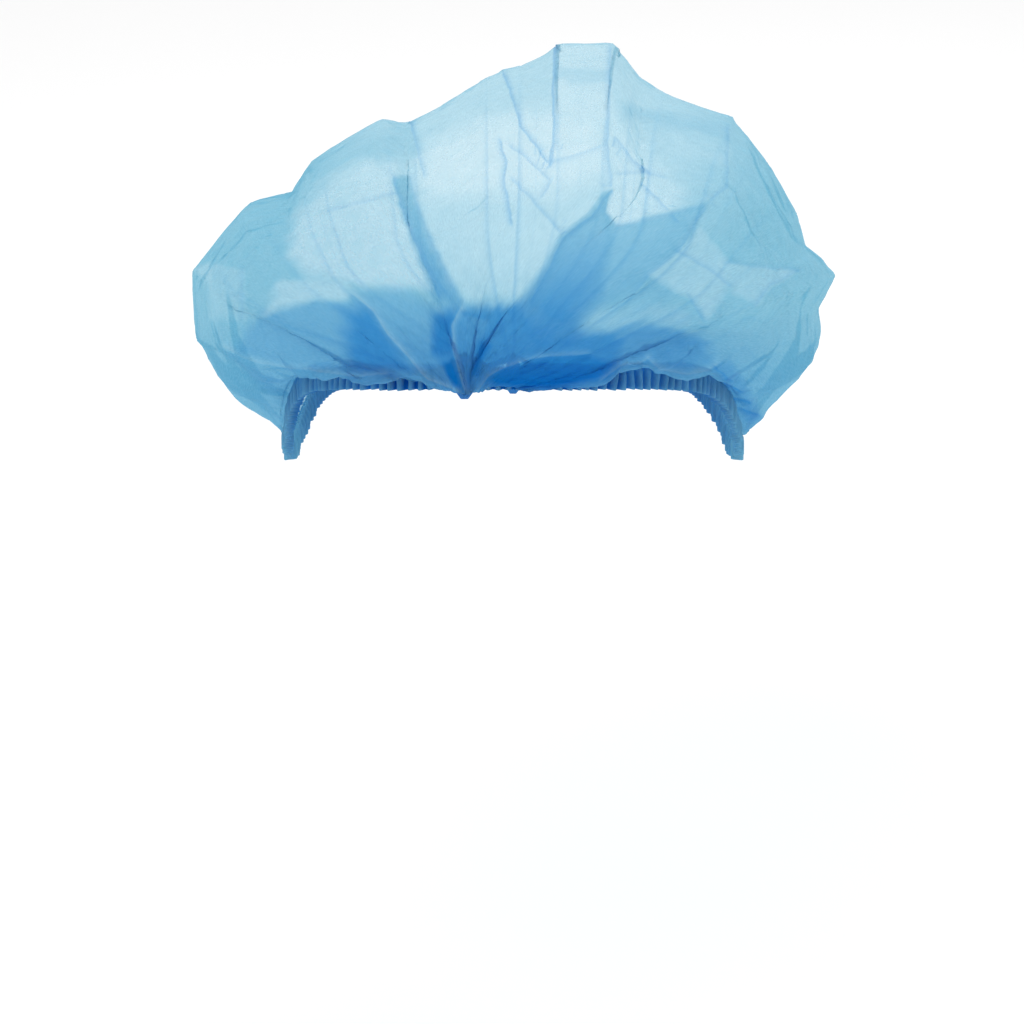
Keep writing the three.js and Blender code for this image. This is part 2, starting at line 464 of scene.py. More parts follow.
@dataclass(frozen=True)
class PressedLine:
    """A crease pressed into the crown's front, followed in across and up as seen from ahead, in mm.

    The cloth on its raised side stands up at the line and sinks back over its reach; shade is how much darker
    the doubled cloth along it looks, or, where it is negative, how strong a painted highlight lies along the
    lit rim of its raised side.
    """

    points: tuple[tuple[float, float], ...]
    raised: Lay
    height: float
    reach: float
    shade: float


# Creases with a negative shade carry a painted highlight along their raised rim.
PRESSED_LINES = (
    PressedLine(((-3, 115.4), (0.1, 106.5), (2.8, 96.7), (12.6, 84.2)), Lay.TO_LEFT, 1.3, 7, 0.45),
    PressedLine(((15.3, 126.1), (14.8, 106.5), (14.8, 91.3), (13.5, 83.3)), Lay.TO_LEFT, 1.4, 7, 0.5),
    PressedLine(((36.6, 125.2), (35.7, 102), (35.3, 90.4), (37.1, 73.5)), Lay.TO_RIGHT, 1.4, 7, 0.32),
    PressedLine(((-3.9, 91.3), (-1.7, 84.2), (-2.6, 78), (0.1, 61.9)), Lay.TO_RIGHT, 1.3, 7, 0.45),
    PressedLine(((-0.3, 89.5), (6.3, 84.2), (12.6, 78)), Lay.TO_LEFT, 1, 6, 0.3),
    PressedLine(((0.1, 77.1), (7.2, 69.9), (17.9, 57.5)), Lay.TO_LEFT, 1.1, 8, 0.3),
    PressedLine(((14.4, 76.2), (11.7, 71.7)), Lay.TO_RIGHT, 0.9, 5, 0.3),
    PressedLine(((31.3, 89.5), (22.4, 86.4), (15.3, 85.1)), Lay.TO_LEFT, 0.9, 5, 0.22),
    PressedLine(((38.9, 92.2), (44.7, 85.1), (50, 80.6)), Lay.TO_RIGHT, 1, 6, 0.3),
    PressedLine(((49.1, 75.3), (56.2, 68.2), (60.7, 62.8)), Lay.TO_RIGHT, 1, 6, 0.3),
    PressedLine(((38.9, 79.3), (49.1, 79.7), (55.3, 78)), Lay.TO_LEFT, 0.8, 5, 0.2),
    PressedLine(((-37.3, 97.6), (-32.9, 79.7)), Lay.TO_LEFT, 1.2, 7, 0.3),
    PressedLine(((-43.8, 78), (-40.1, 64.4), (-33.5, 49.7), (-26.8, 34.3)), Lay.TO_LEFT, 1.8, 8, 0.3),
    PressedLine(((-37.9, 78.8), (-36, 69.6), (-29.4, 53), (-20.2, 32.8)), Lay.TO_LEFT, 1.5, 7, 0.15),
    PressedLine(
        (
            (36.7, 73.8), (33.5, 70.6), (29.5, 64.2), (18.3, 56.2), (13.6, 45.1), (7.2, 33.1),
        ),
        Lay.TO_LEFT, 2.2, 14, 0.3,
    ),
    PressedLine(
        (
            (36.3, 73.8), (34.3, 65.8), (38.5, 61), (47, 62.5), (58, 65), (73, 69.6),
        ),
        Lay.TO_RIGHT, 1.2, 12, 0.12,
    ),
    PressedLine(((60.6, 50.7), (71, 45.1), (79.7, 38.7)), Lay.TO_LEFT, 1.4, 8, 0.25),
    PressedLine(((64.6, 34.7), (69.4, 26.7)), Lay.TO_LEFT, 1, 6, 0.25),
    PressedLine(
        (
            (79.8, 96), (79.4, 74.3), (72.8, 69.6), (61.4, 50.8), (51.1, 42.7), (43, 33.2),
        ),
        Lay.TO_RIGHT, 2.2, 14, 0.22,
    ),
    PressedLine(((78.9, 46.7), (89.3, 45.1), (105.2, 43.5)), Lay.TO_LEFT, 1.4, 8, 0.15),
    PressedLine(((105.2, 43.5), (94.9, 37.9), (90.1, 31.5)), Lay.TO_RIGHT, 1.6, 9, 0.2),
    PressedLine(((-66.9, 65.4), (-50.2, 70.3), (-42.7, 72)), Lay.TO_LEFT, 0.9, 6, 0.2),
    PressedLine(((-98.8, 43.8), (-98.8, 27)), Lay.TO_RIGHT, 1.4, 8, 0.15),
    PressedLine(
        (
            (-58.2, 35), (-51, 28.6), (-45.4, 19.8), (-37.4, 11.1), (-31.1, 3.9), (-19.9, -0.5),
        ),
        Lay.TO_LEFT, 2.4, 12, -0.6,
    ),
    PressedLine(
        (
            (-19.1, 30.2), (-22.3, 23.8), (-21.9, 15.1), (-19.9, 7.1), (-17.1, -0.1),
        ),
        Lay.TO_LEFT, 1.2, 6, -0.5,
    ),
    PressedLine(
        (
            (-4, 25.4), (-9.5, 17.4), (-11.9, 11.1), (-15.1, 3.1), (-16.3, -0.5),
        ),
        Lay.TO_RIGHT, 1, 6, 0.3,
    ),
    PressedLine(
        (
            (-12.7, -0.9), (-8.7, 4.7), (-3.2, 7.9), (3.2, 10.8), (11.2, 12.4), (27.1, 13.2),
        ),
        Lay.TO_LEFT, 2, 9, -0.35,
    ),
    PressedLine(((33.5, 4.4), (39.9, 8.8), (47, 10), (50.2, 11.6)), Lay.TO_LEFT, 1.8, 8, -0.4),
    PressedLine(((50.2, 11.6), (54.2, 7.6), (64.6, 5.6), (71.8, 7.2), (75.7, 10)), Lay.TO_LEFT, 1.8, 8, -0.4),
    PressedLine(((75, 8.6), (80.3, 4)), Lay.TO_RIGHT, 1.2, 3, 0.6),
    PressedLine(((78.3, 2.7), (83.6, 0.1)), Lay.TO_RIGHT, 1.2, 3, 0.7),
    PressedLine(((81.6, -2.5), (86.8, -3.9)), Lay.TO_RIGHT, 1.2, 3, 0.7),
    PressedLine(((84.2, -6.5), (90.1, -8.4)), Lay.TO_RIGHT, 1.2, 3, 0.6),
    PressedLine(
        (
            (-105.2, 15.1), (-94.8, 10.3), (-82.9, 8.3), (-69.3, 6.7), (-56.6, 4.8), (-47, 5.9),
        ),
        Lay.TO_LEFT, 3, 16, -0.4,
    ),
)


@dataclass(frozen=True)
class TonePatch:
    """A patch of the crown's front where the cloth lies in fewer or more layers, some with painted light and
    some with painted shade as well.

    Its outline is in across and up as seen from ahead and blurs over its softness, both in mm; pale and
    deep are the tones that it brings.
    """

    outline: tuple[tuple[float, float], ...]
    pale: float
    deep: float
    softness: float


# The large pale patches over the middle carry painted light seen through the cloth; the narrow bands across
# the top are packing creases; the deep patches low on the front carry painted shade under the roll and the
# lobes, over their gathered layers.
TONE_PATCHES = (
    TonePatch(((16.5, 126.5), (37.1, 126.5), (34.9, 100.8), (15.8, 100.8)), 0.75, 0, 2),
    TonePatch(
        (
            (-78.3, 73.6), (-59.9, 89.8), (-37.9, 97.9), (-32.7, 87.9), (-42.6, 83.5), (-55.1, 83.5),
            (-66.9, 78), (-78.7, 64.4),
        ),
        0.15, 0, 4,
    ),
    TonePatch(
        (
            (-92.4, 28.6), (-71.7, 33.8), (-59.8, 31.8), (-51, 29.4), (-40.6, 14.3), (-34.2, 3.9),
            (-56.6, 4.7), (-82.9, 7.9), (-102.8, 13.5),
        ),
        0, 0.34, 3,
    ),
    TonePatch(((-62, 30), (-51, 31), (-44, 20.6), (-36, 6.3), (-60, 6.3)), 0, 0.78, 5),
    TonePatch(
        (
            (-90.8, 28.6), (-86.1, 39), (-74.1, 41), (-62.9, 39.8), (-58.2, 34.2), (-70.9, 34.2),
            (-84.5, 31),
        ),
        0.5, 0, 2.5,
    ),
    # Painted light: the pale left of the front.
    TonePatch(
        (
            (-78.7, 64.4), (-66.9, 78), (-55.1, 83.5), (-42.6, 83.5), (-43.8, 71), (-40.1, 64.4),
            (-34.2, 51.5), (-30.1, 38.3), (-42.3, 37.9), (-58.1, 40.5), (-74.3, 43.1), (-82, 49.7),
        ),
        0.85, 0, 4,
    ),
    # Painted shade with the gathered layers: the deep lower front around the V.
    TonePatch(
        (
            (-28.7, 28.8), (-19.1, 31), (-4.8, 32.4), (5.5, 31.7), (11, 25.1), (21.7, 21),
            (39.7, 22.1), (50.4, 23.6), (71.7, 17.4), (65.4, 13.3), (50.4, 11.5), (32, 6.7),
            (17.3, -0.7), (-4.8, 0.8), (-15.8, -2.9), (-21.3, -0.7), (-32.4, 9.3), (-39.7, 18.5),
            (-34.2, 26.5),
        ),
        0, 0.74, 4,
    ),
    TonePatch(
        (
            (-32.7, 87.8), (-16.9, 97), (8, 101.1), (33.8, 100.3), (36.3, 72.8), (31.3, 67.9),
            (16.4, 54.5), (11.4, 42.9), (3.9, 32.9), (-18.6, 33.7), (-25.3, 42.9), (-33.6, 66.2),
            (-35.2, 79.5),
        ),
        0.44, 0, 3.5,
    ),
    # Painted light: the palest middle of the front.
    TonePatch(
        (
            (-30.5, 88.3), (-12.1, 98.6), (9.9, 102.3), (32, 100.8), (34, 80), (17.3, 73), (-30.5, 73),
            (-34.2, 80),
        ),
        1, 0, 7,
    ),
    TonePatch(((16.4, 118), (36.4, 117), (36.4, 113), (16.4, 114)), 0.45, 0.04, 1.8),
    TonePatch(((39.7, 105), (81, 97.5), (80.6, 93), (39.7, 100)), 0.2, 0.05, 2.5),
    TonePatch(((40.5, 96), (79.6, 88), (79, 83), (42, 91)), 0.42, 0, 3),
    TonePatch(
        (
            (35.7, 102.6), (43, 92.7), (54.8, 81.3), (62.9, 72.9), (58.1, 62.9), (49.6, 62.9),
            (41.2, 66.2), (37.1, 72.9),
        ),
        0.7, 0, 5,
    ),
    TonePatch(
        (
            (24.7, 28.3), (35.1, 33.1), (51, 34.7), (63.8, 28.3), (65.4, 23.6), (51, 25.9), (39.9, 22),
            (23.1, 22),
        ),
        0.15, 0.1, 3,
    ),
    TonePatch(((33, 36), (45, 43), (58, 41), (62, 34), (51, 30), (36, 29)), 0, 0.12, 4),
    TonePatch(
        (
            (39.9, 22), (50.2, 23.6), (71.8, 17.2), (73.3, 10.8), (63.8, 5.6), (55.8, 6.8),
            (50.2, 11.6), (39.9, 9.2),
        ),
        0, 0.55, 3,
    ),
)


@dataclass(frozen=True)
class FoldAndShadePatch:
    """A patch with a crisp edge, set out as a tone patch is: most are doubled cloth, two are painted shade
    under the left lobe and under the front roll's lip.

    Its deep tone and its edge's softness change from its top to its foot.
    """

    outline: tuple[tuple[float, float], ...]
    pale: float
    deep: float
    foot_deep: float
    softness: float
    foot_softness: float

    @property
    def foot(self) -> float:
        """Height of its lowest corner."""
        return min(up for _, up in self.outline)

    @property
    def top(self) -> float:
        """Height of its highest corner."""
        return max(up for _, up in self.outline)


FOLD_AND_SHADE_PATCHES = (
    FoldAndShadePatch(
        (
            (74.3, 9.3), (80.1, 10.7), (86.8, 0.1), (91.5, -10.6), (86.2, -14.3), (83.5, -6.5), (78.3, 2.6),
        ),
        0, 0.5, 0.5, 1.5, 2,
    ),
    # Painted shadow below the left lobe, deeper towards its foot.
    FoldAndShadePatch(
        (
            (-105.2, 14.3), (-82.9, 7.9), (-62.9, 5.5), (-77.3, 3.1), (-84.5, -0.1), (-88.5, -0.1),
        ),
        0, 0.16, 0.38, 0.9, 2,
    ),
    FoldAndShadePatch(
        (
            (-43.8, 78), (-37.9, 78.8), (-36, 69.6), (-29.4, 53), (-20.2, 32.8), (-26.8, 34.3),
            (-33.5, 49.7), (-40.1, 64.4),
        ),
        0, 0.03, 0.5, 0.8, 3,
    ),
    FoldAndShadePatch(
        (
            (36.7, 73.8), (34.3, 65.8), (38.5, 61), (47, 62.5), (58, 65), (73, 69.6), (61.4, 52.5),
            (51.1, 42.7), (43.1, 38), (35.1, 33.1), (24.7, 28.3), (22.3, 22), (11.2, 21.2), (5.6, 31.5),
            (14.4, 45.9), (18.3, 56.2), (28.7, 64.2), (33.5, 72.2),
        ),
        0, 0.06, 0.36, 0.9, 4,
    ),
    FoldAndShadePatch(
        (
            (36.7, 73.8), (34.3, 65.8), (36, 56), (33, 46), (31, 36), (24.7, 28.3), (22.3, 22), (11.2, 21.2),
            (5.6, 31.5), (14.4, 45.9), (18.3, 56.2), (28.7, 64.2), (33.5, 72.2),
        ),
        0, 0.0, 0.84, 1, 6,
    ),
    FoldAndShadePatch(
        ((36.6, 72), (41, 73), (47.5, 66.5), (46.5, 62.3), (38.8, 61), (35, 65.8)), 0.75, 0, 0, 0.8, 1.2
    ),
    FoldAndShadePatch(
        (
            (51, 42.7), (61.4, 49.9), (69.4, 59.4), (78.9, 47.5), (79.7, 38.7), (71.8, 27.5),
            (66.2, 34.7), (61.4, 36.3),
        ),
        0.34, 0, 0, 1.2, 2,
    ),
    FoldAndShadePatch(
        (
            (-117.2, 44.5), (-111.6, 46.9), (-98.8, 43.8), (-98.8, 27), (-110, 27), (-111.6, 39),
        ),
        0.2, 0, 0, 0.8, 2.5,
    ),
    FoldAndShadePatch(
        ((78.9, 46.7), (105.2, 43.5), (94.9, 37.9), (90.1, 31.5), (81.3, 36.3)), 0.26, 0, 0, 0.8, 1.5
    ),
    FoldAndShadePatch(
        (
            (-58.2, 35), (-51, 28.6), (-45.4, 19.8), (-37.4, 11.1), (-31.1, 3.9), (-19.9, -0.5),
            (-23.5, 6), (-28.7, 13.7), (-28.3, 21.7), (-31, 31), (-42, 37),
        ),
        0, 0.26, 0.62, 3, 0.7,
    ),
    FoldAndShadePatch(
        ((-26.8, 26.9), (-22.6, 25.4), (-22.6, 14.2), (-28.7, 13.7), (-28.3, 21.7)), 0, 0.85, 0.85, 2.2, 2.2
    ),
    FoldAndShadePatch(
        (
            (-19.3, 28.7), (-22.2, 24), (-22.6, 17.9), (-21.7, 12.3), (-18.9, 5.3), (-16.1, -0.8),
            (-14.2, 5.3), (-13.3, 8.6), (-11.4, 17), (-8.1, 25.4),
        ),
        0, 0.6, 0.8, 0.8, 0.8,
    ),
    FoldAndShadePatch(
        ((-11.8, 17.9), (-8.6, 16.1), (-11.4, 10.4), (-12.8, 5.3), (-14.7, 5.7), (-14.2, 9.5)),
        0, 0.95, 1, 1.8, 1.2,
    ),
    FoldAndShadePatch(
        ((-25, 9.5), (-22.2, 11.8), (-20.8, 7.6), (-18.4, 2), (-17.9, -1.3), (-21.2, 2), (-24, 5.7)),
        0, 0.95, 1, 1, 1,
    ),
    # Painted shade under the front roll's lip, right of the V.
    FoldAndShadePatch(
        (
            (-9, 3.4), (-6.7, 6.2), (-2, 8.8), (6.4, 10.7), (16, 12.6), (27.1, 13.2), (39.9, 9.2),
            (35.1, 4.4), (19.1, 1), (3.2, 0.5), (-6, 1),
        ),
        0, 0.85, 1, 1, 2,
    ),
)


@dataclass(frozen=True)
class RollDepth:
    """The share of its hang that the front roll keeps at a place across, as seen from ahead in mm."""

    across: float
    kept: float


FRONT_ROLL = (
    RollDepth(-90, 1.0),
    RollDepth(-76, 1.0),
    RollDepth(-70, 0.6),
    RollDepth(-64, 0.4),
    RollDepth(-53, 0.45),
    RollDepth(-43, 0.35),
    RollDepth(-36, 0.55),
    RollDepth(-27, 0.75),
    RollDepth(-19, 1.0),
    RollDepth(-10, 1.0),
    RollDepth(2, 0.86),
    RollDepth(16, 0.84),
    RollDepth(26, 0.9),
    RollDepth(33, 0.75),
    RollDepth(40, 0.35),
    RollDepth(50, 0.2),
    RollDepth(55, 0.5),
    RollDepth(63, 0.8),
    RollDepth(68, 0.7),
    RollDepth(72, 0.5),
    RollDepth(77, 1.0),
    RollDepth(90, 1.0),
)


@dataclass(frozen=True)
class FrontView:
    """The view from ahead in which the creases and patches of the crown's front are set out."""

    eye: tuple[float, float, float] = (-0.0004, -0.9268, 0.3455)
    elevation: float = math.radians(23)
    drop: float = 0.0448

    def seen(self, points: np.ndarray) -> np.ndarray:
        """Find where points of the part are seen.

        Args:
            points: any number of points in the part's frame.

        Returns:
            Across and up of each point, as they look at a metre from the eye.
        """
        across, along, up = np.moveaxis(points - np.array(self.eye), -1, 0)
        cosine = math.cos(self.elevation)
        sine = math.sin(self.elevation)
        depth = along * cosine - up * sine
        return np.stack([across / depth, (along * sine + up * cosine) / depth - self.drop], axis=-1)


@dataclass(frozen=True)
class Crumple:
    """How slack cloth buckles: it grows a little between its held edges, in a cloth simulation."""

    growth: float = 0.06
    quality: int = 6
    point_mass: float = 0.05
    stretch: float = 40.0
    shear: float = 15.0
    bending: float = 1.6
    damping: float = 10.0
    bending_damping: float = 0.5
    hold: float = 0.04
    frames: int = 16
    scale: float = 10.0
    roughness: float = 0.0003
    edge_hold: tuple[float, float] = (0.002, 0.012)
    weld_hold: tuple[float, float] = (0.01, 0.04)
    drift_reach: int = 9
    most: float = 0.006
    bump_share: float = 0.35
    seed: int = 5

    def moved(self, base: np.ndarray) -> np.ndarray:
        """Let a sheet buckle and measure how its points move.

        Args:
            base: the smooth sheet, rows by columns of points.

        Returns:
            The move of each point, without the sheet's overall swelling.
        """
        jitter = np.random.default_rng(self.seed).normal(0, self.roughness, (*base.shape[:2], 1))
        start = (base + sheet_normals(base) * jitter) * self.scale
        piece = sheet_object("buckling_sheet", start, np.zeros((*base.shape[:2], 2)))
        group = piece.vertex_groups.new(name="held")
        weights = np.round(self.held(base).ravel(), 2)
        for weight in np.unique(weights):
            group.add(np.flatnonzero(weights == weight).tolist(), float(weight), "REPLACE")
        self.simulate(piece, group.name)
        mesh = piece.evaluated_get(bpy.context.evaluated_depsgraph_get()).to_mesh()
        places = np.empty(3 * len(mesh.vertices))
        mesh.vertices.foreach_get("co", places)
        bpy.data.meshes.remove(piece.data)
        bpy.context.scene.frame_set(1)
        moves = places.reshape(base.shape) / self.scale - base
        moves -= blurred(moves, self.drift_reach)
        outward = sheet_normals(base)
        swelling = np.maximum((moves * outward).sum(axis=-1, keepdims=True), 0)
        moves -= outward * swelling * (1 - self.bump_share)
        sizes = np.linalg.norm(moves, axis=-1, keepdims=True)
        return moves * np.minimum(1, self.most / np.maximum(sizes, TINY))

    def held(self, base: np.ndarray) -> np.ndarray:
        """Work out how firmly each point keeps its place, most at the hems and the welds.

        Args:
            base: the smooth sheet, rows by columns of points.

        Returns:
            A weight from 0 to 1 for each point.
        """
        over = travelled(base, axis=1)
        edge = np.minimum(over, over[:, -1:] - over)
        down = travelled(base[:, base.shape[1] // 2])
        weld = np.minimum(down, down[-1] - down)[:, None]
        firm = np.maximum(1 - ease(edge, *self.edge_hold), 1 - ease(weld, *self.weld_hold))
        return mix(self.hold, 1, firm)

    def simulate(self, piece: bpy.types.Object, group: str) -> None:
        """Run the cloth simulation on a sheet.

        Args:
            piece: the sheet's object.
            group: the group of points that holds it.
        """
        cloth = piece.modifiers.new("cloth", "CLOTH")
        settings = cloth.settings
        settings.quality = self.quality
        settings.mass = self.point_mass
        settings.bending_model = "ANGULAR"
        settings.tension_stiffness = settings.compression_stiffness = self.stretch
        settings.shear_stiffness = self.shear
        settings.bending_stiffness = self.bending
        settings.tension_damping = settings.compression_damping = settings.shear_damping = self.damping
        settings.bending_damping = self.bending_damping
        settings.vertex_group_mass = group
        settings.shrink_min = -self.growth
        settings.effector_weights.gravity = 0
        cloth.point_cache.frame_end = self.frames
        for step in range(1, self.frames + 1):
            bpy.context.scene.frame_set(step)


class ShaderTree:
    """A material's nodes, added one at a time."""

    def __init__(self, name: str) -> None:
        """Start an empty material.

        Args:
            name: the material's name.
        """
        self.material = bpy.data.materials.new(name)
        self.material.use_nodes = True
        self.nodes = self.material.node_tree.nodes
        self.nodes.clear()

    def add(
        self, kind: str, inputs: dict[str | int, object] | None = None, **settings: object
    ) -> bpy.types.Node:
        """Add a node.

        Args:
            kind: the node's type.
            inputs: a value, or another node's output socket, for each input named.
            settings: the node's own properties.

        Returns:
            The new node.
        """
        node = self.nodes.new(kind)
        for key, value in settings.items():
            setattr(node, key, value)
        for key, value in (inputs or {}).items():
            if isinstance(value, bpy.types.NodeSocket):
                self.material.node_tree.links.new(value, node.inputs[key])
            else:
                node.inputs[key].default_value = value
        return node

    def math(self, operation: str, *values: object) -> bpy.types.NodeSocket:
        """Work out one number from others."""
        node = self.add("ShaderNodeMath", dict(enumerate(values)), operation=operation)
        return node.outputs[0]

    def remap(
        self, value: object, low: float, high: float, to_low: float, to_high: float
    ) -> bpy.types.NodeSocket:
        """Map a range of values to another range, held at its ends."""
        inputs = {"Value": value, "From Min": low, "From Max": high, "To Min": to_low, "To Max": to_high}
        return self.add("ShaderNodeMapRange", inputs).outputs[0]

    def colours(self, share: object, first: object, second: object) -> bpy.types.NodeSocket:
        """Blend two colours, each a colour or another node's output."""
        ends = [(*end, 1) if isinstance(end, tuple) else end for end in (first, second)]
        return self.add("ShaderNodeMix", {0: share, 6: ends[0], 7: ends[1]}, data_type="RGBA").outputs[2]

    def blend(self, share: object, first: object, second: object) -> bpy.types.NodeSocket:
        """Blend two numbers, each a number or another node's output."""
        return self.add("ShaderNodeMix", {0: share, 2: first, 3: second}, data_type="FLOAT").outputs[0]

    def attribute(self, name: str) -> bpy.types.NodeSocket:
        """Read a value painted on the piece."""
        return self.add("ShaderNodeAttribute", attribute_name=name).outputs["Fac"]

    def layer(self, share: object, first: bpy.types.Node, second: bpy.types.Node) -> bpy.types.Node:
        """Mix two shaders."""
        return self.add("ShaderNodeMixShader", {0: share, 1: first.outputs[0], 2: second.outputs[0]})


@dataclass(frozen=True)
class Nonwoven:
    """Thin spunbond cloth: coloured fibres that light passes between and through.

    Fibre light and the two gaps map a range of the fibres or clouds to another range. Crease edge and
    fade are in mm.
    """

    name: str
    fibre: tuple[float, float, float] = (0.19, 0.51, 0.66)
    pale_fibre: tuple[float, float, float] = (0.72, 0.86, 0.90)
    deep_fibre: tuple[float, float, float] = (0.0, 0.19, 0.56)
    glow: tuple[float, float, float] = (0.75, 0.92, 0.97)
    pale_glow: tuple[float, float, float] = (0.92, 0.98, 1.0)
    deep_glow: tuple[float, float, float] = (0.0, 0.50, 0.88)
    see_through: float = 0.42
    pale_see_through: float = 0.8
    deep_see_through: float = 0.18
    bright_fibre: tuple[float, float, float] = (0.80, 0.93, 0.98)
    light_passed: float = 0.5
    gloss: float = 0.25
    roughness: float = 0.6
    fibre_bump: float = 0.12
    bump_depth: float = 0.0003
    fibre_scale: tuple[float, float, float] = (2600.0, 500.0, 1.0)
    crossing_scale: tuple[float, float, float] = (2000.0, 420.0, 1.0)
    crossing_turn: tuple[float, float, float] = (0.0, 0.0, 0.9)
    along_share: float = 0.6
    crossing_share: float = 0.4
    fibre_detail: float = 3.0
    cloud_scale: float = 140.0
    cloud_detail: float = 4.0
    cloud_roughness: float = 0.6
    fibre_light: tuple[float, float, float, float] = (0.4, 0.75, 0.0, 0.14)
    cloud_gaps: tuple[float, float, float, float] = (0.3, 0.7, 0.82, 1.12)
    fibre_gaps: tuple[float, float, float, float] = (0.35, 0.75, 1.08, 0.86)
    patches: tuple[FoldAndShadePatch, ...] = ()
    crease_sets: int = 0
    crease_edge: float = 0.35
    crease_fade: float = 3.2
    # Paleness of the painted highlight along a crease's rim.
    rim_highlight_pale: float = 0.5

    def material(self) -> bpy.types.Material:
        """Make the cloth's material.

        Returns:
            A material that reads the piece's own map and its painted values.
        """
        tree = ShaderTree(self.name)
        place = tree.add("ShaderNodeUVMap", uv_map=CLOTH_MAP).outputs[0]
        fibres = self.fibres(tree, place)
        clouds = self.clouds(tree, place)
        pale, deep = self.tones(tree)
        thin = tree.attribute("thin")
        body = tree.colours(deep, tree.colours(pale, self.fibre, self.pale_fibre), self.deep_fibre)
        light = tree.colours(deep, tree.colours(pale, self.glow, self.pale_glow), self.deep_glow)
        light = tree.colours(thin, light, (1.0, 1.0, 1.0))
        open_cloth = tree.math("SUBTRACT", 1.0, deep)
        brightness = tree.math("MULTIPLY", tree.remap(fibres, *self.fibre_light), open_cloth)
        shade = tree.colours(brightness, body, self.bright_fibre)
        relief = {"Strength": self.fibre_bump, "Distance": self.bump_depth, "Height": fibres}
        bump = tree.add("ShaderNodeBump", relief)
        solid = tree.add(
            "ShaderNodeBsdfPrincipled",
            {
                "Base Color": shade,
                "Roughness": self.roughness,
                "Specular IOR Level": tree.math("MULTIPLY", open_cloth, self.gloss),
                "Normal": bump.outputs[0],
            },
        )
        passed = tree.add("ShaderNodeBsdfTranslucent", {"Color": shade, "Normal": bump.outputs[0]})
        cloth = tree.layer(self.light_passed, solid, passed)
        gaps = tree.add("ShaderNodeBsdfTransparent", {"Color": light})
        more_open = self.pale_see_through - self.see_through
        less_open = self.deep_see_through - self.see_through
        open_share = tree.math("MULTIPLY_ADD", pale, more_open, self.see_through)
        open_share = tree.math("MULTIPLY_ADD", deep, less_open, open_share)
        open_share = tree.math("MULTIPLY", open_share, tree.remap(clouds, *self.cloud_gaps))
        open_share = tree.math("MULTIPLY", open_share, tree.remap(fibres, *self.fibre_gaps))
        open_share = tree.blend(thin, open_share, 1.0)
        sheet = tree.layer(open_share, cloth, gaps)
        tree.add("ShaderNodeOutputMaterial", {0: sheet.outputs[0]})
        return tree.material

    def tones(self, tree: ShaderTree) -> tuple[bpy.types.NodeSocket, bpy.types.NodeSocket]:
        """Read the painted tones, then lay the folded and shaded patches and the creases, with their painted
        rim highlights, over them.

        Args:
            tree: the material's nodes.

        Returns:
            How pale and how deep the cloth is.
        """
        pale = tree.attribute("pale")
        deep = tree.attribute("deep")
        height = tree.attribute("height")
        for k, patch in enumerate(self.patches):
            softness = tree.remap(height, patch.foot, patch.top, patch.foot_softness, patch.softness)
            depth = tree.math("DIVIDE", tree.attribute(f"patch_{k}"), softness)
            inside = tree.remap(depth, -1.0, 1.0, 0.0, 1.0)
            tone = tree.remap(height, patch.foot, patch.top, patch.foot_deep, patch.deep)
            pale = tree.blend(inside, pale, patch.pale)
            deep = tree.blend(inside, deep, tone)
        for k in range(self.crease_sets):
            away = tree.attribute(f"crease_{k}")
            edge = tree.remap(away, -self.crease_edge, self.crease_edge, 0.0, 1.0)
            fade = tree.remap(away, 0.0, self.crease_fade, 1.0, 0.0)
            mark = tree.math("MULTIPLY", edge, tree.math("MULTIPLY", fade, fade))
            mark = tree.math("MULTIPLY", mark, tree.attribute(f"shade_{k}"))
            # A negative mark paints a highlight along the crease's raised rim: paler and less deep there.
            rim_highlight = tree.math("MAXIMUM", tree.math("MULTIPLY", mark, -1.0), 0.0)
            deep = tree.blend(tree.math("MAXIMUM", mark, 0.0), deep, 1.0)
            deep = tree.blend(rim_highlight, deep, 0.0)
            pale = tree.blend(rim_highlight, pale, self.rim_highlight_pale)
        return pale, deep

    def fibres(self, tree: ShaderTree, place: bpy.types.NodeSocket) -> bpy.types.NodeSocket:
        """Draw the lie of the fibres, longest along the pleats.

        Args:
            tree: the material's nodes.
            place: the place on the cut cloth.

        Returns:
            A value from 0 to 1, high on a bundle of fibres.
        """
        along = tree.add("ShaderNodeMapping", {0: place, 3: self.fibre_scale})
        crossing = tree.add("ShaderNodeMapping", {0: place, 2: self.crossing_turn, 3: self.crossing_scale})
        first, second = (
            tree.add(
                "ShaderNodeTexNoise",
                {"Vector": mapping.outputs[0], "Scale": 1.0, "Detail": self.fibre_detail},
            ).outputs[0]
            for mapping in (along, crossing)
        )
        crossed = tree.math("MULTIPLY", second, self.crossing_share)
        return tree.math("MULTIPLY_ADD", first, self.along_share, crossed)

    def clouds(self, tree: ShaderTree, place: bpy.types.NodeSocket) -> bpy.types.NodeSocket:
        """Draw the uneven weight of the cloth.

        Args:
            tree: the material's nodes.
            place: the place on the cut cloth.

        Returns:
            A value from 0 to 1, high where the cloth is thin.
        """
        noise = {
            "Vector": place,
            "Scale": self.cloud_scale,
            "Detail": self.cloud_detail,
            "Roughness": self.cloud_roughness,
        }
        return tree.add("ShaderNodeTexNoise", noise).outputs[0]


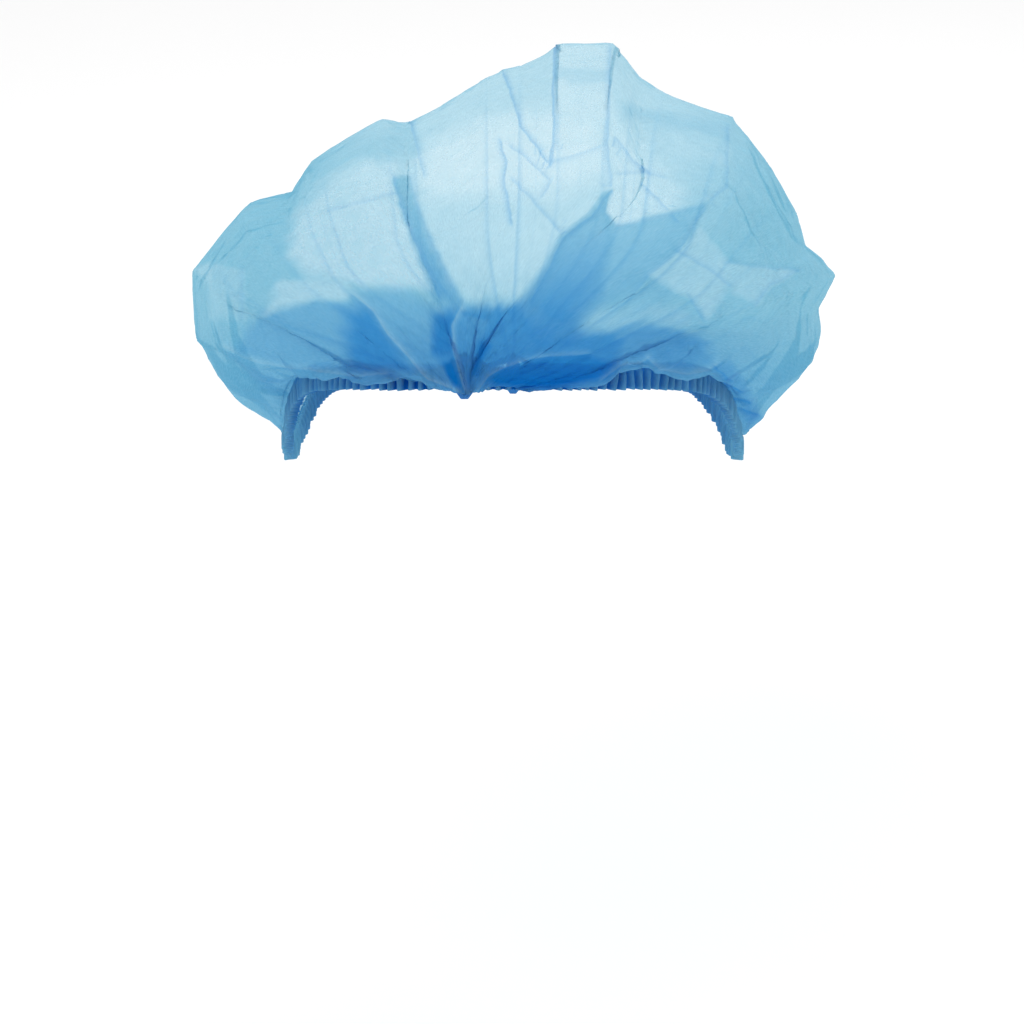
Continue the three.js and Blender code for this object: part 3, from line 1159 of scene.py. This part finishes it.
@dataclass(frozen=True)
class WeldedNonwoven:
    """The same cloth in many layers, pressed and welded into one even, deep tone."""

    name: str
    fibre: tuple[float, float, float] = (0.037, 0.229, 0.596)
    glow: tuple[float, float, float] = (0.75, 0.92, 0.97)
    see_through: float = 0.048
    light_passed: float = 0.15
    gloss: float = 0.25
    roughness: float = 0.6

    def material(self) -> bpy.types.Material:
        """Make the welded cloth's material.

        Returns:
            A material with one tone all over.
        """
        tree = ShaderTree(self.name)
        shade = (*self.fibre, 1)
        solid = tree.add(
            "ShaderNodeBsdfPrincipled",
            {"Base Color": shade, "Roughness": self.roughness, "Specular IOR Level": self.gloss},
        )
        passed = tree.add("ShaderNodeBsdfTranslucent", {"Color": shade})
        gaps = tree.add("ShaderNodeBsdfTransparent", {"Color": (*self.glow, 1)})
        sheet = tree.layer(self.see_through, tree.layer(self.light_passed, solid, passed), gaps)
        tree.add("ShaderNodeOutputMaterial", {0: sheet.outputs[0]})
        return tree.material


@dataclass
class Crown:
    """The pleated sheet, puffed out between the hems and drawn together at the welds."""

    opening: Opening
    view: FrontView
    finish: Nonwoven
    name: str = "crown_cloth"
    node: str = "crown"
    rows: int = 344
    front_rows: float = 0.12
    column_step: float = 0.0022
    base_step: float = 0.0016
    span_columns: tuple[int, int] = (3, 14)
    station_steps: int = 24
    rise: float = 0.127
    fan_lift: float = 0.0012
    spread_swell: float = 0.62
    pleat_stand: float = 0.0014
    pleat_swell: float = 0.8
    gap: float = 0.0003
    collar_width: float = 0.00225
    roll_reach: float = 0.034
    roll_front: tuple[float, float] = (-0.08, -0.04)
    roll_steps: int = 8
    scallops: int = 9
    scallop_depth: float = 0.004
    scallop_reach: float = 0.075
    crisp: float = 0.3
    rolled_hem: tuple[float, float] = (0.03, 0.07)
    widest_overlap: float = 0.004
    lap_share: float = 0.2
    open_fold: float = 0.0012
    weld_reach: float = 0.06
    overlap_height: float = 0.0008
    overlap_tip: float = 0.1
    overlap_fade: tuple[float, float] = (0.6, 1.0)
    front_fade: tuple[float, float] = (0.01, 0.06)
    lap_columns: int = 2
    crease_edge: float = 1.0
    crease_clear: tuple[float, float] = (4.0, 6.0)
    crease_end: float = 1.5
    waver: float = 1.3
    fine_waver: float = 0.4
    waver_cells: tuple[int, int] = (70, 70)
    waver_seeds: tuple[int, int] = (31, 32)
    # Pale ellipse over the crown's middle: partly a thin single layer, partly painted light seen through the
    # cloth.
    thin_lit_middle: tuple[float, float] = (0.010, 0.090)
    thin_lit_radii: tuple[float, float] = (0.090, 0.066)
    thin_lit_fade: tuple[float, float] = (0.4, 1.0)
    thin_lit_pale: float = 0.42
    # Deeper tone towards the bottom of the front: gathered layers with painted shade.
    low_height: float = 0.034
    low_width: float = 0.085
    low_deep: tuple[float, float] = (0.08, 0.45)
    back_shade: tuple[float, float] = (0.15, 0.65)
    back_reach: tuple[float, float] = (0.02, 0.22)
    back_seed: int = 41
    crumple: Crumple = Crumple()
    flat: tuple[float, float] = (0.42, 0.40)
    across: np.ndarray = field(init=False)
    up: np.ndarray = field(init=False)
    lean: np.ndarray = field(init=False)

    def __post_init__(self) -> None:
        """Set the folds out as columns."""
        self.across, self.up, self.lean = np.array([(f.across, f.up, f.lean) for f in FOLDS]).T

    def cloth_from_hem(self) -> np.ndarray:
        """Measure each fold from the nearer hem, over the cloth where the crown is widest.

        Returns:
            The distance of each fold.
        """
        low = self.opening.hem_top - self.opening.side_droop
        ends = [[-self.opening.half_width, low], [self.opening.half_width, low]]
        widest = np.vstack([ends[:1], np.stack([self.across, self.up], axis=-1), ends[1:]])
        way = travelled(widest)
        return np.minimum(way, way[-1] - way)[1:-1]

    def swell(self, shares: np.ndarray) -> tuple[np.ndarray, np.ndarray]:
        """Follow the crown's swell from weld to weld.

        Args:
            shares: shares of the way over the highest fold.

        Returns:
            Dip, place along and rise at each share, and the direction of travel there.
        """
        path = smooth_path(np.array([(s.dip, s.along, s.rise) for s in STATIONS]), self.station_steps)
        marks = travelled(path)
        heading = unit(np.gradient(path, marks, axis=0))
        wanted = shares * marks[-1]
        return at_lengths(path, marks, wanted), unit(at_lengths(heading, marks, wanted))

    def collar(self, side: Side, shares: np.ndarray) -> list[np.ndarray]:
        """Follow the crown's edge above a hem.

        Args:
            side: which hem.
            shares: shares of the way along it.

        Returns:
            The edge's points, and those where its cloth leaves the hem's top.
        """
        edge, outward = self.opening.edge(side, shares)
        lifted = edge + np.array([0, 0, self.gap])
        return [lifted, lifted + outward * self.collar_width + np.array([0, 0, self.gap])]

    def fold_lines(self, shares: np.ndarray) -> np.ndarray:
        """Work out the folds and the two edges.

        Args:
            shares: shares of the way from the front weld to the back weld.

        Returns:
            Rows by lines of points: an edge and a collar, the folds, a collar and an edge.
        """
        station, heading = self.swell(shares)
        dip, along, rise = (column[:, None] for column in station.T)
        swell = rise / self.rise
        reach = np.hypot(self.across, self.up)
        topness = (self.up / reach) ** 2
        right = self.collar(Side.RIGHT, shares)
        left = self.collar(Side.LEFT, shares)
        on_right = (self.across < 0)[None, :]
        middle = self.opening.weld_line(shares)[:, None]
        openings = [middle - right[0][:, :1], left[0][:, :1] - middle]
        openness = np.where(on_right, *(np.minimum(width / width[len(shares) // 2], 1) for width in openings))
        spread = mix(openness, ease(swell, 0, self.spread_swell), topness)
        from_hem = self.cloth_from_hem()
        wave = np.cos(FULL_TURN * self.scallops * shares)[:, None]
        bulge = self.scallop_depth * np.sin(math.pi * np.minimum(from_hem / self.scallop_reach, 1)) * wave
        crowding = np.sin(math.pi * np.minimum(swell / self.pleat_swell, 1)) ** 2
        stand = self.pleat_stand * crowding * np.where(np.arange(len(FOLDS)) % 2 == 0, 1, -1)
        for tuck in TUCKS:
            way = np.clip((shares - tuck.start) / (tuck.end - tuck.start), 0, 1)
            stand[:, tuck.fold] -= tuck.depth * np.sin(math.pi * way)
        stand_out = heading[:, 1:2] * stand / reach
        free = np.stack(
            [
                middle * (1 - spread) + self.across * (spread + stand_out),
                along + self.lean * swell - heading[:, 2:3] * stand,
                (self.opening.hem_top + self.fan_lift) * (1 - swell)
                + self.up * (swell + stand_out)
                - dip
                - swell * bulge,
            ],
            axis=-1,
        )
        collars = np.where(on_right[..., None], right[1][:, None], left[1][:, None])
        drawn = (1 - ease(from_hem, 0, self.roll_reach))[None, :, None]
        folds = mix(free, collars, drawn)
        return np.concatenate([np.stack(right, axis=1), folds, np.stack(left[::-1], axis=1)], axis=1)

    def rounded(self, lines: np.ndarray) -> tuple[np.ndarray, np.ndarray]:
        """Fill the sheet in between the folds, crisp over the top and rolled beside the hems.

        Args:
            lines: rows by lines of points.

        Returns:
            Rows by columns of points, and the column of each line.
        """
        steps = np.diff(lines, axis=1)
        lengths = np.linalg.norm(steps, axis=-1, keepdims=True)
        headings = unit(steps)
        turns = np.concatenate(
            [headings[:, :1], unit(headings[:, 1:] + headings[:, :-1]), headings[:, -1:]], axis=1
        )
        near_hem = 1 - ease(self.cloth_from_hem(), *self.rolled_hem)
        roundness = np.pad(mix(self.crisp, 1, near_hem), EDGE_LINES, constant_values=1)[None, :, None]
        counts = np.maximum(np.ceil(lengths.max(axis=0)[:, 0] / self.base_step), 2).astype(int)
        filled = []
        for k, count in enumerate(counts):
            way = np.linspace(0, 1, count, endpoint=False)[None, :, None]
            start, end = lines[:, k : k + 1], lines[:, k + 1 : k + 2]
            leaving = turns[:, k : k + 1] * lengths[:, k : k + 1] * roundness[:, k : k + 1]
            arriving = turns[:, k + 1 : k + 2] * lengths[:, k : k + 1] * roundness[:, k + 1 : k + 2]
            square = 3 * (end - start) - 2 * leaving - arriving
            cube = 2 * (start - end) + leaving + arriving
            filled.append(start + leaving * way + square * way**2 + cube * way**3)
        filled.append(lines[:, -1:])
        return np.concatenate(filled, axis=1), np.concatenate([[0], np.cumsum(counts)])

    def buckled(self, base: np.ndarray) -> np.ndarray:
        """Work out how the smooth sheet crumples, on every other row and column to save time.

        Args:
            base: rows by columns of points.

        Returns:
            The move of each point.
        """
        rows, columns = (np.unique(np.append(np.arange(0, count, 2), count - 1)) for count in base.shape[:2])
        moves = self.crumple.moved(base[np.ix_(rows, columns)])
        for count, kept in ((len(base), rows), (base.shape[1], columns)):
            flat = at_lengths(moves.reshape(len(moves), -1), kept, np.arange(count))
            moves = flat.reshape(count, *moves.shape[1:]).swapaxes(0, 1)
        return moves

    def pressed(self, base: np.ndarray) -> np.ndarray:
        """Work out how far the front's creases lift the smooth sheet.

        Args:
            base: rows by columns of points.

        Returns:
            The lift of each point, out of the sheet.
        """
        seen = self.view.seen(self.opening.to_part(base)) / MM
        lift = np.zeros(base.shape[:2])
        for line in PRESSED_LINES:
            away, over = from_line(seen, np.array(line.points))
            away = away * line.raised.value
            rise = np.where(away > 0, np.exp(-away / line.reach), np.exp(away / self.crease_edge))
            lift += line.height * MM * rise * np.exp(-((over / line.reach) ** 2))
        return lift * self.frontness(base)

    def frontness(self, points: np.ndarray) -> np.ndarray:
        """Tell the front of the crown, 1, from its back, 0."""
        return 1 - ease(points[..., 1], *self.front_fade)

    def overlaps(self, shares: np.ndarray, marks: np.ndarray) -> np.ndarray:
        """How far each fold lies over its neighbour.

        Args:
            shares: shares of the way from the front weld to the back weld.
            marks: rows by lines, the length over the cloth to each line.

        Returns:
            Rows by lines: a positive overlap, or a negative width where the fold lies open.
        """
        spacing = np.zeros_like(marks)
        spacing[:, 1:-1] = (marks[:, 2:] - marks[:, :-2]) / 2
        spare = (self.lap_share * spacing.max(axis=0) - spacing) / 2
        spare = np.clip(spare, -self.open_fold, self.widest_overlap)
        ends = np.minimum(shares, 1 - shares) * marks[len(marks) // 2, -1]
        spare = mix(-self.open_fold, spare, ease(ends, 0, self.weld_reach)[:, None])
        spare[:, : EDGE_LINES + 1] = -self.open_fold / 2
        spare[:, -EDGE_LINES - 1 :] = -self.open_fold / 2
        for crease in CREASES:
            way = np.clip((shares - crease.start) / (crease.end - crease.start), 0, 1)
            fade = ease(way, 0, self.overlap_tip) * (1 - ease(way, *self.overlap_fade))
            line = crease.fold + EDGE_LINES
            spare[:, line] = np.maximum(spare[:, line], mix(-self.open_fold, crease.overlap, fade))
        return spare

    def pleated(
        self, base: np.ndarray, moved: np.ndarray, columns: np.ndarray, shares: np.ndarray
    ) -> tuple[np.ndarray, np.ndarray, np.ndarray]:
        """Lay the sheet over its form, with its folds lapped over each other.

        Args:
            base: the smooth form, rows by columns of points.
            moved: the same points, crumpled and creased.
            columns: the column of each fold line.
            shares: shares of the way from the front weld to the back weld.

        Returns:
            The sheet's points, each point's place on the cut cloth, and the column of each fold.
        """
        marks = travelled(base, axis=1)
        both = np.concatenate([moved, sheet_normals(base)], axis=-1)
        lines = marks[:, columns]
        laps = self.overlaps(shares, lines)
        heights = self.overlap_height * ease(laps, 0, self.widest_overlap / 2)
        lays = np.sign(self.across - self.opening.front_weld)
        lays = np.pad(lays, EDGE_LINES, constant_values=(-1, 1))
        for crease in CREASES:
            lays[crease.fold + EDGE_LINES] = crease.lay.value
        widths = np.diff(lines, axis=1).max(axis=0)
        forward = np.clip(np.rint(widths / self.column_step), *self.span_columns).astype(int)
        counts = np.stack([forward, np.full_like(forward, self.lap_columns)], axis=-1).ravel()[:-1]
        way = np.concatenate([[0], np.cumsum(counts)])
        sheet = np.empty((len(base), way[-1] + 1, 3))
        for row, line in enumerate(lines):
            places, rises = [line[0]], [0.0]
            for k in range(1, len(line) - 1):
                tip = line[k] + lays[k] * laps[row, k]
                order = 1 if lays[k] > 0 else -1
                places += [tip, line[k]][::order]
                rises += [heights[row, k], 0.0][::order]
            place = np.interp(np.arange(way[-1] + 1), way, places + [line[-1]])
            rise = np.interp(np.arange(way[-1] + 1), way, rises + [0.0])
            found = at_lengths(both[row], marks[row], place)
            sheet[row] = found[:, :3] + unit(found[:, 3:]) * rise[:, None]
        cut_across = travelled(sheet[len(sheet) // 2])
        cut_along = travelled(base[:, base.shape[1] // 2])
        cloth = np.stack(np.broadcast_arrays(cut_across[None, :], cut_along[:, None]), axis=-1)
        first = 2 * EDGE_LINES - 1
        return sheet, cloth, way[first:-first:2]

    def hung(self, base: np.ndarray) -> np.ndarray:
        """Let the front roll hang to uneven depths below the hems' upper edge.

        Args:
            base: rows by columns of points.

        Returns:
            The points, with the roll's lower ones lifted.
        """
        seen = self.view.seen(self.opening.to_part(base)) / MM
        depths = smooth_path(np.array([(roll.across, roll.kept) for roll in FRONT_ROLL]), self.roll_steps)
        kept = np.interp(seen[..., 0], *depths.T)
        in_front = 1 - ease(base[..., 1], *self.roll_front)
        below = np.minimum(base[..., 2] - self.opening.hem_top, 0)
        lift = below * (kept - 1) * in_front
        return base + np.stack([0 * lift, 0 * lift, lift], axis=-1)

    def tones(self, sheet: np.ndarray, folds: np.ndarray) -> dict[str, np.ndarray]:
        """Find where the cloth is drawn smooth and thin, gathered thick, folded or creased, with painted
        light over its pale middle and painted shade low on its front.

        Args:
            sheet: the sheet's points in the cap's tilted frame.
            folds: the column of each fold.

        Returns:
            The values to paint, by name: tones from 0 to 1, and distances in mm.
        """
        across, _, up = np.moveaxis(sheet, -1, 0)
        # Painted light, partly a thin single layer: the cloth is paler towards the crown's middle.
        middle = (sheet[..., ::2] - np.array(self.thin_lit_middle)) / np.array(self.thin_lit_radii)
        pale = self.thin_lit_pale * (1 - ease(np.hypot(*np.moveaxis(middle, -1, 0)), *self.thin_lit_fade))
        # Painted shade along with the gathered layers: the cloth is deeper towards the bottom, most across
        # the front.
        low = 1 - ease(up, 0.0, self.low_height)
        deep = low * mix(*self.low_deep, np.exp(-((across / self.low_width) ** 4)))
        seen = self.view.seen(self.opening.to_part(sheet)) / MM
        front = self.frontness(sheet)
        wavering = np.stack(
            [soft_noise(*sheet.shape[:2], self.waver_cells, seed) for seed in self.waver_seeds], axis=-1
        )
        for patch in TONE_PATCHES:
            inside = depth_within(seen + self.waver * wavering, np.array(patch.outline))
            share = ease(inside, -patch.softness, patch.softness) * front
            pale = mix(pale, patch.pale, share)
            deep = mix(deep, patch.deep, share)
        values = {"pale": pale, "deep": deep, "height": seen[..., 1]}
        unsteady = seen + self.fine_waver * wavering
        for k, patch in enumerate(self.finish.patches):
            inside = depth_within(unsteady, np.array(patch.outline))
            values[f"patch_{k}"] = np.where(front > 0.5, inside, -np.abs(inside))
        sets = self.finish.crease_sets - 1
        for k in range(sets):
            lines = PRESSED_LINES[k::sets]
            values[f"crease_{k}"], values[f"shade_{k}"] = self.crease_marks(unsteady, lines)
            values[f"shade_{k}"] *= front
        values[f"crease_{sets}"], values[f"shade_{sets}"] = self.back_pleats(sheet, folds)
        values[f"shade_{sets}"] *= 1 - front
        return values

    def back_pleats(self, sheet: np.ndarray, folds: np.ndarray) -> tuple[np.ndarray, np.ndarray]:
        """Measure places from the nearest fold, for the pleats that run into the back weld.

        Args:
            sheet: the sheet's points.
            folds: the column of each fold.

        Returns:
            The distance to the fold in mm, positive on its raised side, and its shade there.
        """
        marks = travelled(sheet, axis=1) / MM
        away = marks[:, :, None] - marks[:, None, folds]
        nearest = np.abs(away).argmin(axis=-1)
        signed = np.take_along_axis(away, nearest[..., None], axis=-1)[..., 0]
        shades = np.random.default_rng(self.back_seed).uniform(*self.back_shade, len(folds))
        down = travelled(sheet[:, sheet.shape[1] // 2])
        nearness = 1 - ease(down[-1] - down, *self.back_reach)
        return signed * np.sign(self.across)[nearest], shades[nearest] * nearness[:, None]

    def crease_marks(self, seen: np.ndarray, lines: tuple[PressedLine, ...]) -> tuple[np.ndarray, np.ndarray]:
        """Measure places from the nearest of some creases.

        Args:
            seen: places as seen from ahead, in mm.
            lines: creases that lie well apart.

        Returns:
            The distance to the crease, positive on its raised side, and the crease's shade near it.
        """
        nearest = np.full(seen.shape[:-1], np.inf)
        signed = np.zeros(seen.shape[:-1])
        shade = np.zeros(seen.shape[:-1])
        for line in lines:
            away, over = from_line(seen, np.array(line.points))
            distance = np.hypot(away, over)
            closer = distance < nearest
            nearest = np.where(closer, distance, nearest)
            signed = np.where(closer, away * line.raised.value, signed)
            faint = np.exp(-((over / self.crease_end) ** 2)) * (1 - ease(np.abs(away), *self.crease_clear))
            shade = np.where(closer, line.shade * faint, shade)
        return signed, shade

    def build(self) -> bpy.types.Object:
        """Model the sheet.

        Returns:
            The crown's object, with its painted values.
        """
        shares = np.linspace(0, 1, self.rows)
        shares = shares - self.front_rows * np.sin(math.pi * shares) ** 2
        base, columns = self.rounded(self.fold_lines(shares))
        base = self.hung(base)
        moved = base + self.buckled(base) + sheet_normals(base) * self.pressed(base)[..., None]
        sheet, cloth, folds = self.pleated(base, moved, columns, shares)
        piece = sheet_object(self.name, self.opening.to_part(sheet), cloth)
        for name, values in self.tones(sheet, folds).items():
            paint(piece, name, values)
        return piece

    def dress(self, piece: bpy.types.Object) -> None:
        """Args:
            piece: the crown's object.
        """
        piece.data.materials.append(self.finish.material())
        settle(piece, self.node)


@dataclass
class ElasticHem:
    """One side's band: the cloth folded double over its elastic and shirred into ruffles."""

    opening: Opening
    finish: Nonwoven
    side: Side
    height: float = 0.0093
    tuck_in: float = 0.0008
    ply_gap: float = 0.0007
    pitch: float = 0.0033
    depth: float = 0.0013
    ripple: float = 0.045
    seam_fade: float = 0.0045
    corner: float = 0.28
    corner_reach: float = 0.05
    samples: int = 14
    ply_rows: int = 9
    flat_fullness: float = 1.35
    noise_seed: int = 11
    stretch_seed: int = 23
    unevenness: float = 0.5
    crest_drift: float = 1.9
    crest_power: float = 0.8
    crest_hang: float = 0.5
    swing: tuple[float, float] = (0.2, 1.1)
    swing_reach: float = 0.45
    # Painted shade on the band: its grooves, its sides and its front corners.
    groove_middle: float = 0.5
    groove_depth: float = 0.6
    least_deep: float = 0.3
    side_deep: float = 0.05
    corner_deep: float = 0.8
    seam: float = 0.0002
    front_ease: tuple[float, float] = (0.6, 0.9)

    @property
    def node(self) -> str:
        """Name of the solid that the band stands for."""
        return f"elastic_hem_{self.side.name.lower()}"

    def profile(self) -> tuple[np.ndarray, np.ndarray]:
        """Go down the outer ply, round the fold and up the inner ply.

        Returns:
            How far down and how far out each row lies, rows in order.
        """
        radius = self.ply_gap / 2
        straight = self.height - radius
        down = np.linspace(0, straight, self.ply_rows)
        bend = np.linspace(0, math.pi, 5)[1:-1]
        drop = np.concatenate([down, straight + radius * np.sin(bend), down[::-1]])
        ply = np.full(self.ply_rows, radius)
        out = np.concatenate([ply, radius * np.cos(bend), -ply])
        return drop, out

    def build(self) -> bpy.types.Object:
        """Model the band.

        Returns:
            The band's object, with its painted values.
        """
        length = self.opening.length(self.side)
        ruffles = round(length / self.pitch)
        count = ruffles * self.samples
        shares = np.linspace(0, 1, count + 1)
        edge, outward = self.opening.edge(self.side, shares)
        drop, out = self.profile()
        depth_share = drop / self.height
        uneven = soft_noise(len(drop), count + 1, (2, ruffles // 2), self.noise_seed + self.side.value)
        longer = soft_noise(1, count + 1, (1, ruffles), self.stretch_seed + self.side.value)
        stretch = 1 + self.unevenness * longer
        crests = np.sin(FULL_TURN * ruffles * shares[None, :] + self.crest_drift * uneven)
        swing = mix(*self.swing, ease(depth_share, 0, self.swing_reach))[:, None]
        wave = self.depth * np.sign(crests) * np.abs(crests) ** self.crest_power * stretch * swing
        offset = (out[:, None] + wave)[..., None] * outward[None]
        hang = 1 + self.ripple * (stretch - 1 + self.crest_hang * crests)
        fall = self.tuck_in - drop[:, None] * hang
        sheet = edge[None] + offset + np.stack([0 * fall, 0 * fall, fall], axis=-1)
        cloth_along = shares * length * self.flat_fullness
        cloth_down = travelled(np.stack([drop, out, 0 * out], axis=-1))
        cloth = np.stack(np.broadcast_arrays(cloth_along[None, :], cloth_down[:, None]), axis=-1)
        flip = self.side.value
        sheet, cloth = sheet[:, ::flip], cloth[:, ::flip]
        piece = sheet_object(f"shirred_band_{self.side.name.lower()}", self.opening.to_part(sheet), cloth)
        # Painted shade: the band is deeper in the grooves between its ruffles.
        groove = np.clip(self.groove_middle - self.groove_depth * wave / self.depth, 0, 1)
        front = np.abs(np.cos(math.pi * shares))[None, :]
        thin = (1 - ease(drop, self.seam, self.seam_fade))[:, None] * ease(front, *self.front_ease)
        corner = np.exp(-(((shares - self.corner) / self.corner_reach) ** 2))[None, :]
        # Painted light and shade: deeper towards the welds, paler at the sides where more light falls on the
        # band, deeper again near the front corners.
        shadow = mix(mix(self.side_deep, 1, front), self.corner_deep, corner)
        deep = mix(self.least_deep, 1, groove) * shadow
        paint(piece, "thin", thin[:, ::flip])
        paint(piece, "deep", np.clip(deep, 0, 1)[:, ::flip])
        return piece

    def dress(self, piece: bpy.types.Object) -> None:
        """Args:
            piece: the band's object.
        """
        piece.data.materials.append(self.finish.material())
        settle(piece, self.node)
        flat = (2 * self.height, self.opening.length(self.side) * self.flat_fullness)


@dataclass(frozen=True)
class WeldSection:
    """A level of a welded bundle: width and thickness are shares of the bundle's own."""

    up: float
    width: float
    thickness: float
    lean: float


WELD_SECTIONS = (
    WeldSection(-0.002, 0.35, 0.6, 0.0),
    WeldSection(0.0, 0.8, 0.8, 0.0),
    WeldSection(0.002, 0.97, 0.9, 0.0),
    WeldSection(0.0065, 1.0, 1.0, 0.0006),
    WeldSection(0.0095, 0.8, 0.9, 0.0015),
    WeldSection(0.012, 0.5, 0.6, 0.002),
)


@dataclass
class PleatGather:
    """A bundle of pleat ends, pressed and welded together."""

    opening: Opening
    finish: WeldedNonwoven
    end: End
    width: float = 0.007
    thickness: float = 0.0046
    pleats: int = 9
    pleat_depth: float = 0.22
    ring_points: int = 72
    levels: int = 14

    @property
    def node(self) -> str:
        """Name of the solid that the bundle stands for."""
        return f"{self.end.name.lower()}_gather"

    def build(self) -> bpy.types.Object:
        """Model the bundle by drawing a pleated ring up through its levels.

        Returns:
            The bundle's object.
        """
        table = np.array([(s.up, s.width, s.thickness, s.lean) for s in WELD_SECTIONS])
        ups = np.linspace(table[0, 0], table[-1, 0], self.levels)
        levels = at_lengths(table, table[:, 0], ups)
        shape = bmesh.new()
        bmesh.ops.create_circle(shape, segments=self.ring_points, radius=1.0)
        edges = list(shape.edges)
        rings = [list(shape.verts)]
        for _ in levels[1:]:
            made = bmesh.ops.extrude_edge_only(shape, edges=edges)["geom"]
            edges = [item for item in made if isinstance(item, bmesh.types.BMEdge)]
            rings.append([item for item in made if isinstance(item, bmesh.types.BMVert)])
        for ring, level in zip(rings, levels):
            self.place(ring, level)
        bmesh.ops.holes_fill(shape, edges=shape.edges, sides=self.ring_points)
        bmesh.ops.recalc_face_normals(shape, faces=shape.faces)
        mesh = bpy.data.meshes.new(f"{self.end.name.lower()}_welded_pleats")
        shape.to_mesh(mesh)
        shape.free()
        mesh.shade_smooth()
        piece = bpy.data.objects.new(mesh.name, mesh)
        bpy.context.scene.collection.objects.link(piece)
        return piece

    def place(self, ring: list[bmesh.types.BMVert], level: np.ndarray) -> None:
        """Move a ring of vertices to one level of the bundle.

        Args:
            ring: the ring's vertices.
            level: up, width, thickness and lean there.
        """
        up, width, thickness, lean = level
        middle = self.opening.front_weld if self.end is End.FRONT else self.opening.back_weld
        for vertex in ring:
            angle = math.atan2(vertex.co.y, vertex.co.x)
            pleat = 1 - self.pleat_depth * (0.5 - 0.5 * math.cos(self.pleats * angle))
            across = middle + self.width / 2 * width * pleat * math.cos(angle)
            along = self.end.value * (self.opening.half_length + lean)
            along += self.thickness / 2 * thickness * pleat * math.sin(angle)
            vertex.co = Vector(self.opening.to_part(np.array([across, along, up])))

    def dress(self, piece: bpy.types.Object) -> None:
        """Finish the bundle."""
        piece.data.materials.append(self.finish.material())
        settle(piece, self.node)


@dataclass(frozen=True)
class Lamp:
    """A soft square lamp that shines at the cap."""

    name: str
    place: tuple[float, float, float]
    size: float
    power: float


@dataclass
class Studio:
    """A pale floor, soft light and the camera."""

    view: FrontView
    lens: float = 95.6
    sensor: float = 36.0
    floor_level: float = -0.26
    floor_size: float = 8.0
    floor_tone: float = 0.95
    floor_roughness: float = 0.9
    sky: float = 0.95
    lamps: tuple[Lamp, ...] = (
        Lamp("key", (-0.6, -0.9, 1.3), 1.0, 6.0),
        Lamp("back", (0.5, 1.1, 1.2), 1.0, 4.0),
    )
    aim: tuple[float, float, float] = (0.0, 0.0, 0.03)
    sheets_passed: int = 48
    bounces: int = 12
    soft_bounces: int = 6

    def build(self) -> None:
        """Make the floor, the light and the camera."""
        self.floor()
        self.light()
        self.camera()

    def floor(self) -> None:
        """Lay the floor."""
        shape = bmesh.new()
        bmesh.ops.create_grid(shape, x_segments=1, y_segments=1, size=self.floor_size)
        bmesh.ops.translate(shape, vec=(0, 0, self.floor_level), verts=shape.verts)
        mesh = bpy.data.meshes.new("floor")
        shape.to_mesh(mesh)
        shape.free()
        floor = bpy.data.objects.new("floor", mesh)
        bpy.context.scene.collection.objects.link(floor)
        tree = ShaderTree("pale_floor")
        finish = {"Base Color": (*[self.floor_tone] * 3, 1), "Roughness": self.floor_roughness}
        solid = tree.add("ShaderNodeBsdfPrincipled", finish)
        tree.add("ShaderNodeOutputMaterial", {0: solid.outputs[0]})
        mesh.materials.append(tree.material)

    def light(self) -> None:
        """Set an even bright surround and the lamps."""
        scene = bpy.context.scene
        scene.view_settings.view_transform = "Standard"
        world = bpy.data.worlds.new("studio")
        world.use_nodes = True
        world.node_tree.nodes["Background"].inputs[0].default_value = (1, 1, 1, 1)
        world.node_tree.nodes["Background"].inputs[1].default_value = self.sky
        scene.world = world
        for lamp in self.lamps:
            data = bpy.data.lights.new(lamp.name, "AREA")
            data.size = lamp.size
            data.energy = lamp.power
            light = bpy.data.objects.new(lamp.name, data)
            light.location = lamp.place
            heading = Vector(self.aim) - Vector(lamp.place)
            light.rotation_euler = heading.to_track_quat("-Z", "Y").to_euler()
            scene.collection.objects.link(light)

    def camera(self) -> None:
        """Point the camera at the cap's front from a little above."""
        data = bpy.data.cameras.new("camera")
        data.lens = self.lens
        data.sensor_width = self.sensor
        camera = bpy.data.objects.new("camera", data)
        camera.location = self.view.eye
        camera.rotation_euler = (math.pi / 2 - self.view.elevation, 0, 0)
        bpy.context.scene.collection.objects.link(camera)
        bpy.context.scene.camera = camera
        bpy.context.scene.cycles.transparent_max_bounces = self.sheets_passed
        bpy.context.scene.cycles.max_bounces = self.bounces
        bpy.context.scene.cycles.diffuse_bounces = self.soft_bounces


def main() -> None:
    """Build the cap's pieces in order, then the studio."""
    logging.basicConfig(level=logging.INFO, format="%(name)s: %(message)s")
    opening = Opening()
    sheer = Nonwoven("sheer_nonwoven", patches=FOLD_AND_SHADE_PATCHES, crease_sets=4)
    doubled = Nonwoven(
        "shirred_nonwoven", fibre=(0.21, 0.53, 0.70), see_through=0.26, deep_see_through=0.10
    )
    welded = WeldedNonwoven("welded_nonwoven")
    view = FrontView()
    pieces = [Crown(opening, view, sheer)]
    pieces += [ElasticHem(opening, doubled, side) for side in Side]
    pieces += [PleatGather(opening, welded, end) for end in End]
    for maker in pieces:
        piece = maker.build()
        maker.dress(piece)
        LOG.info("%s: %d faces for %s", piece.name, len(piece.data.polygons), maker.node)
    Studio(view).build()


if __name__ == "__main__":
    main()
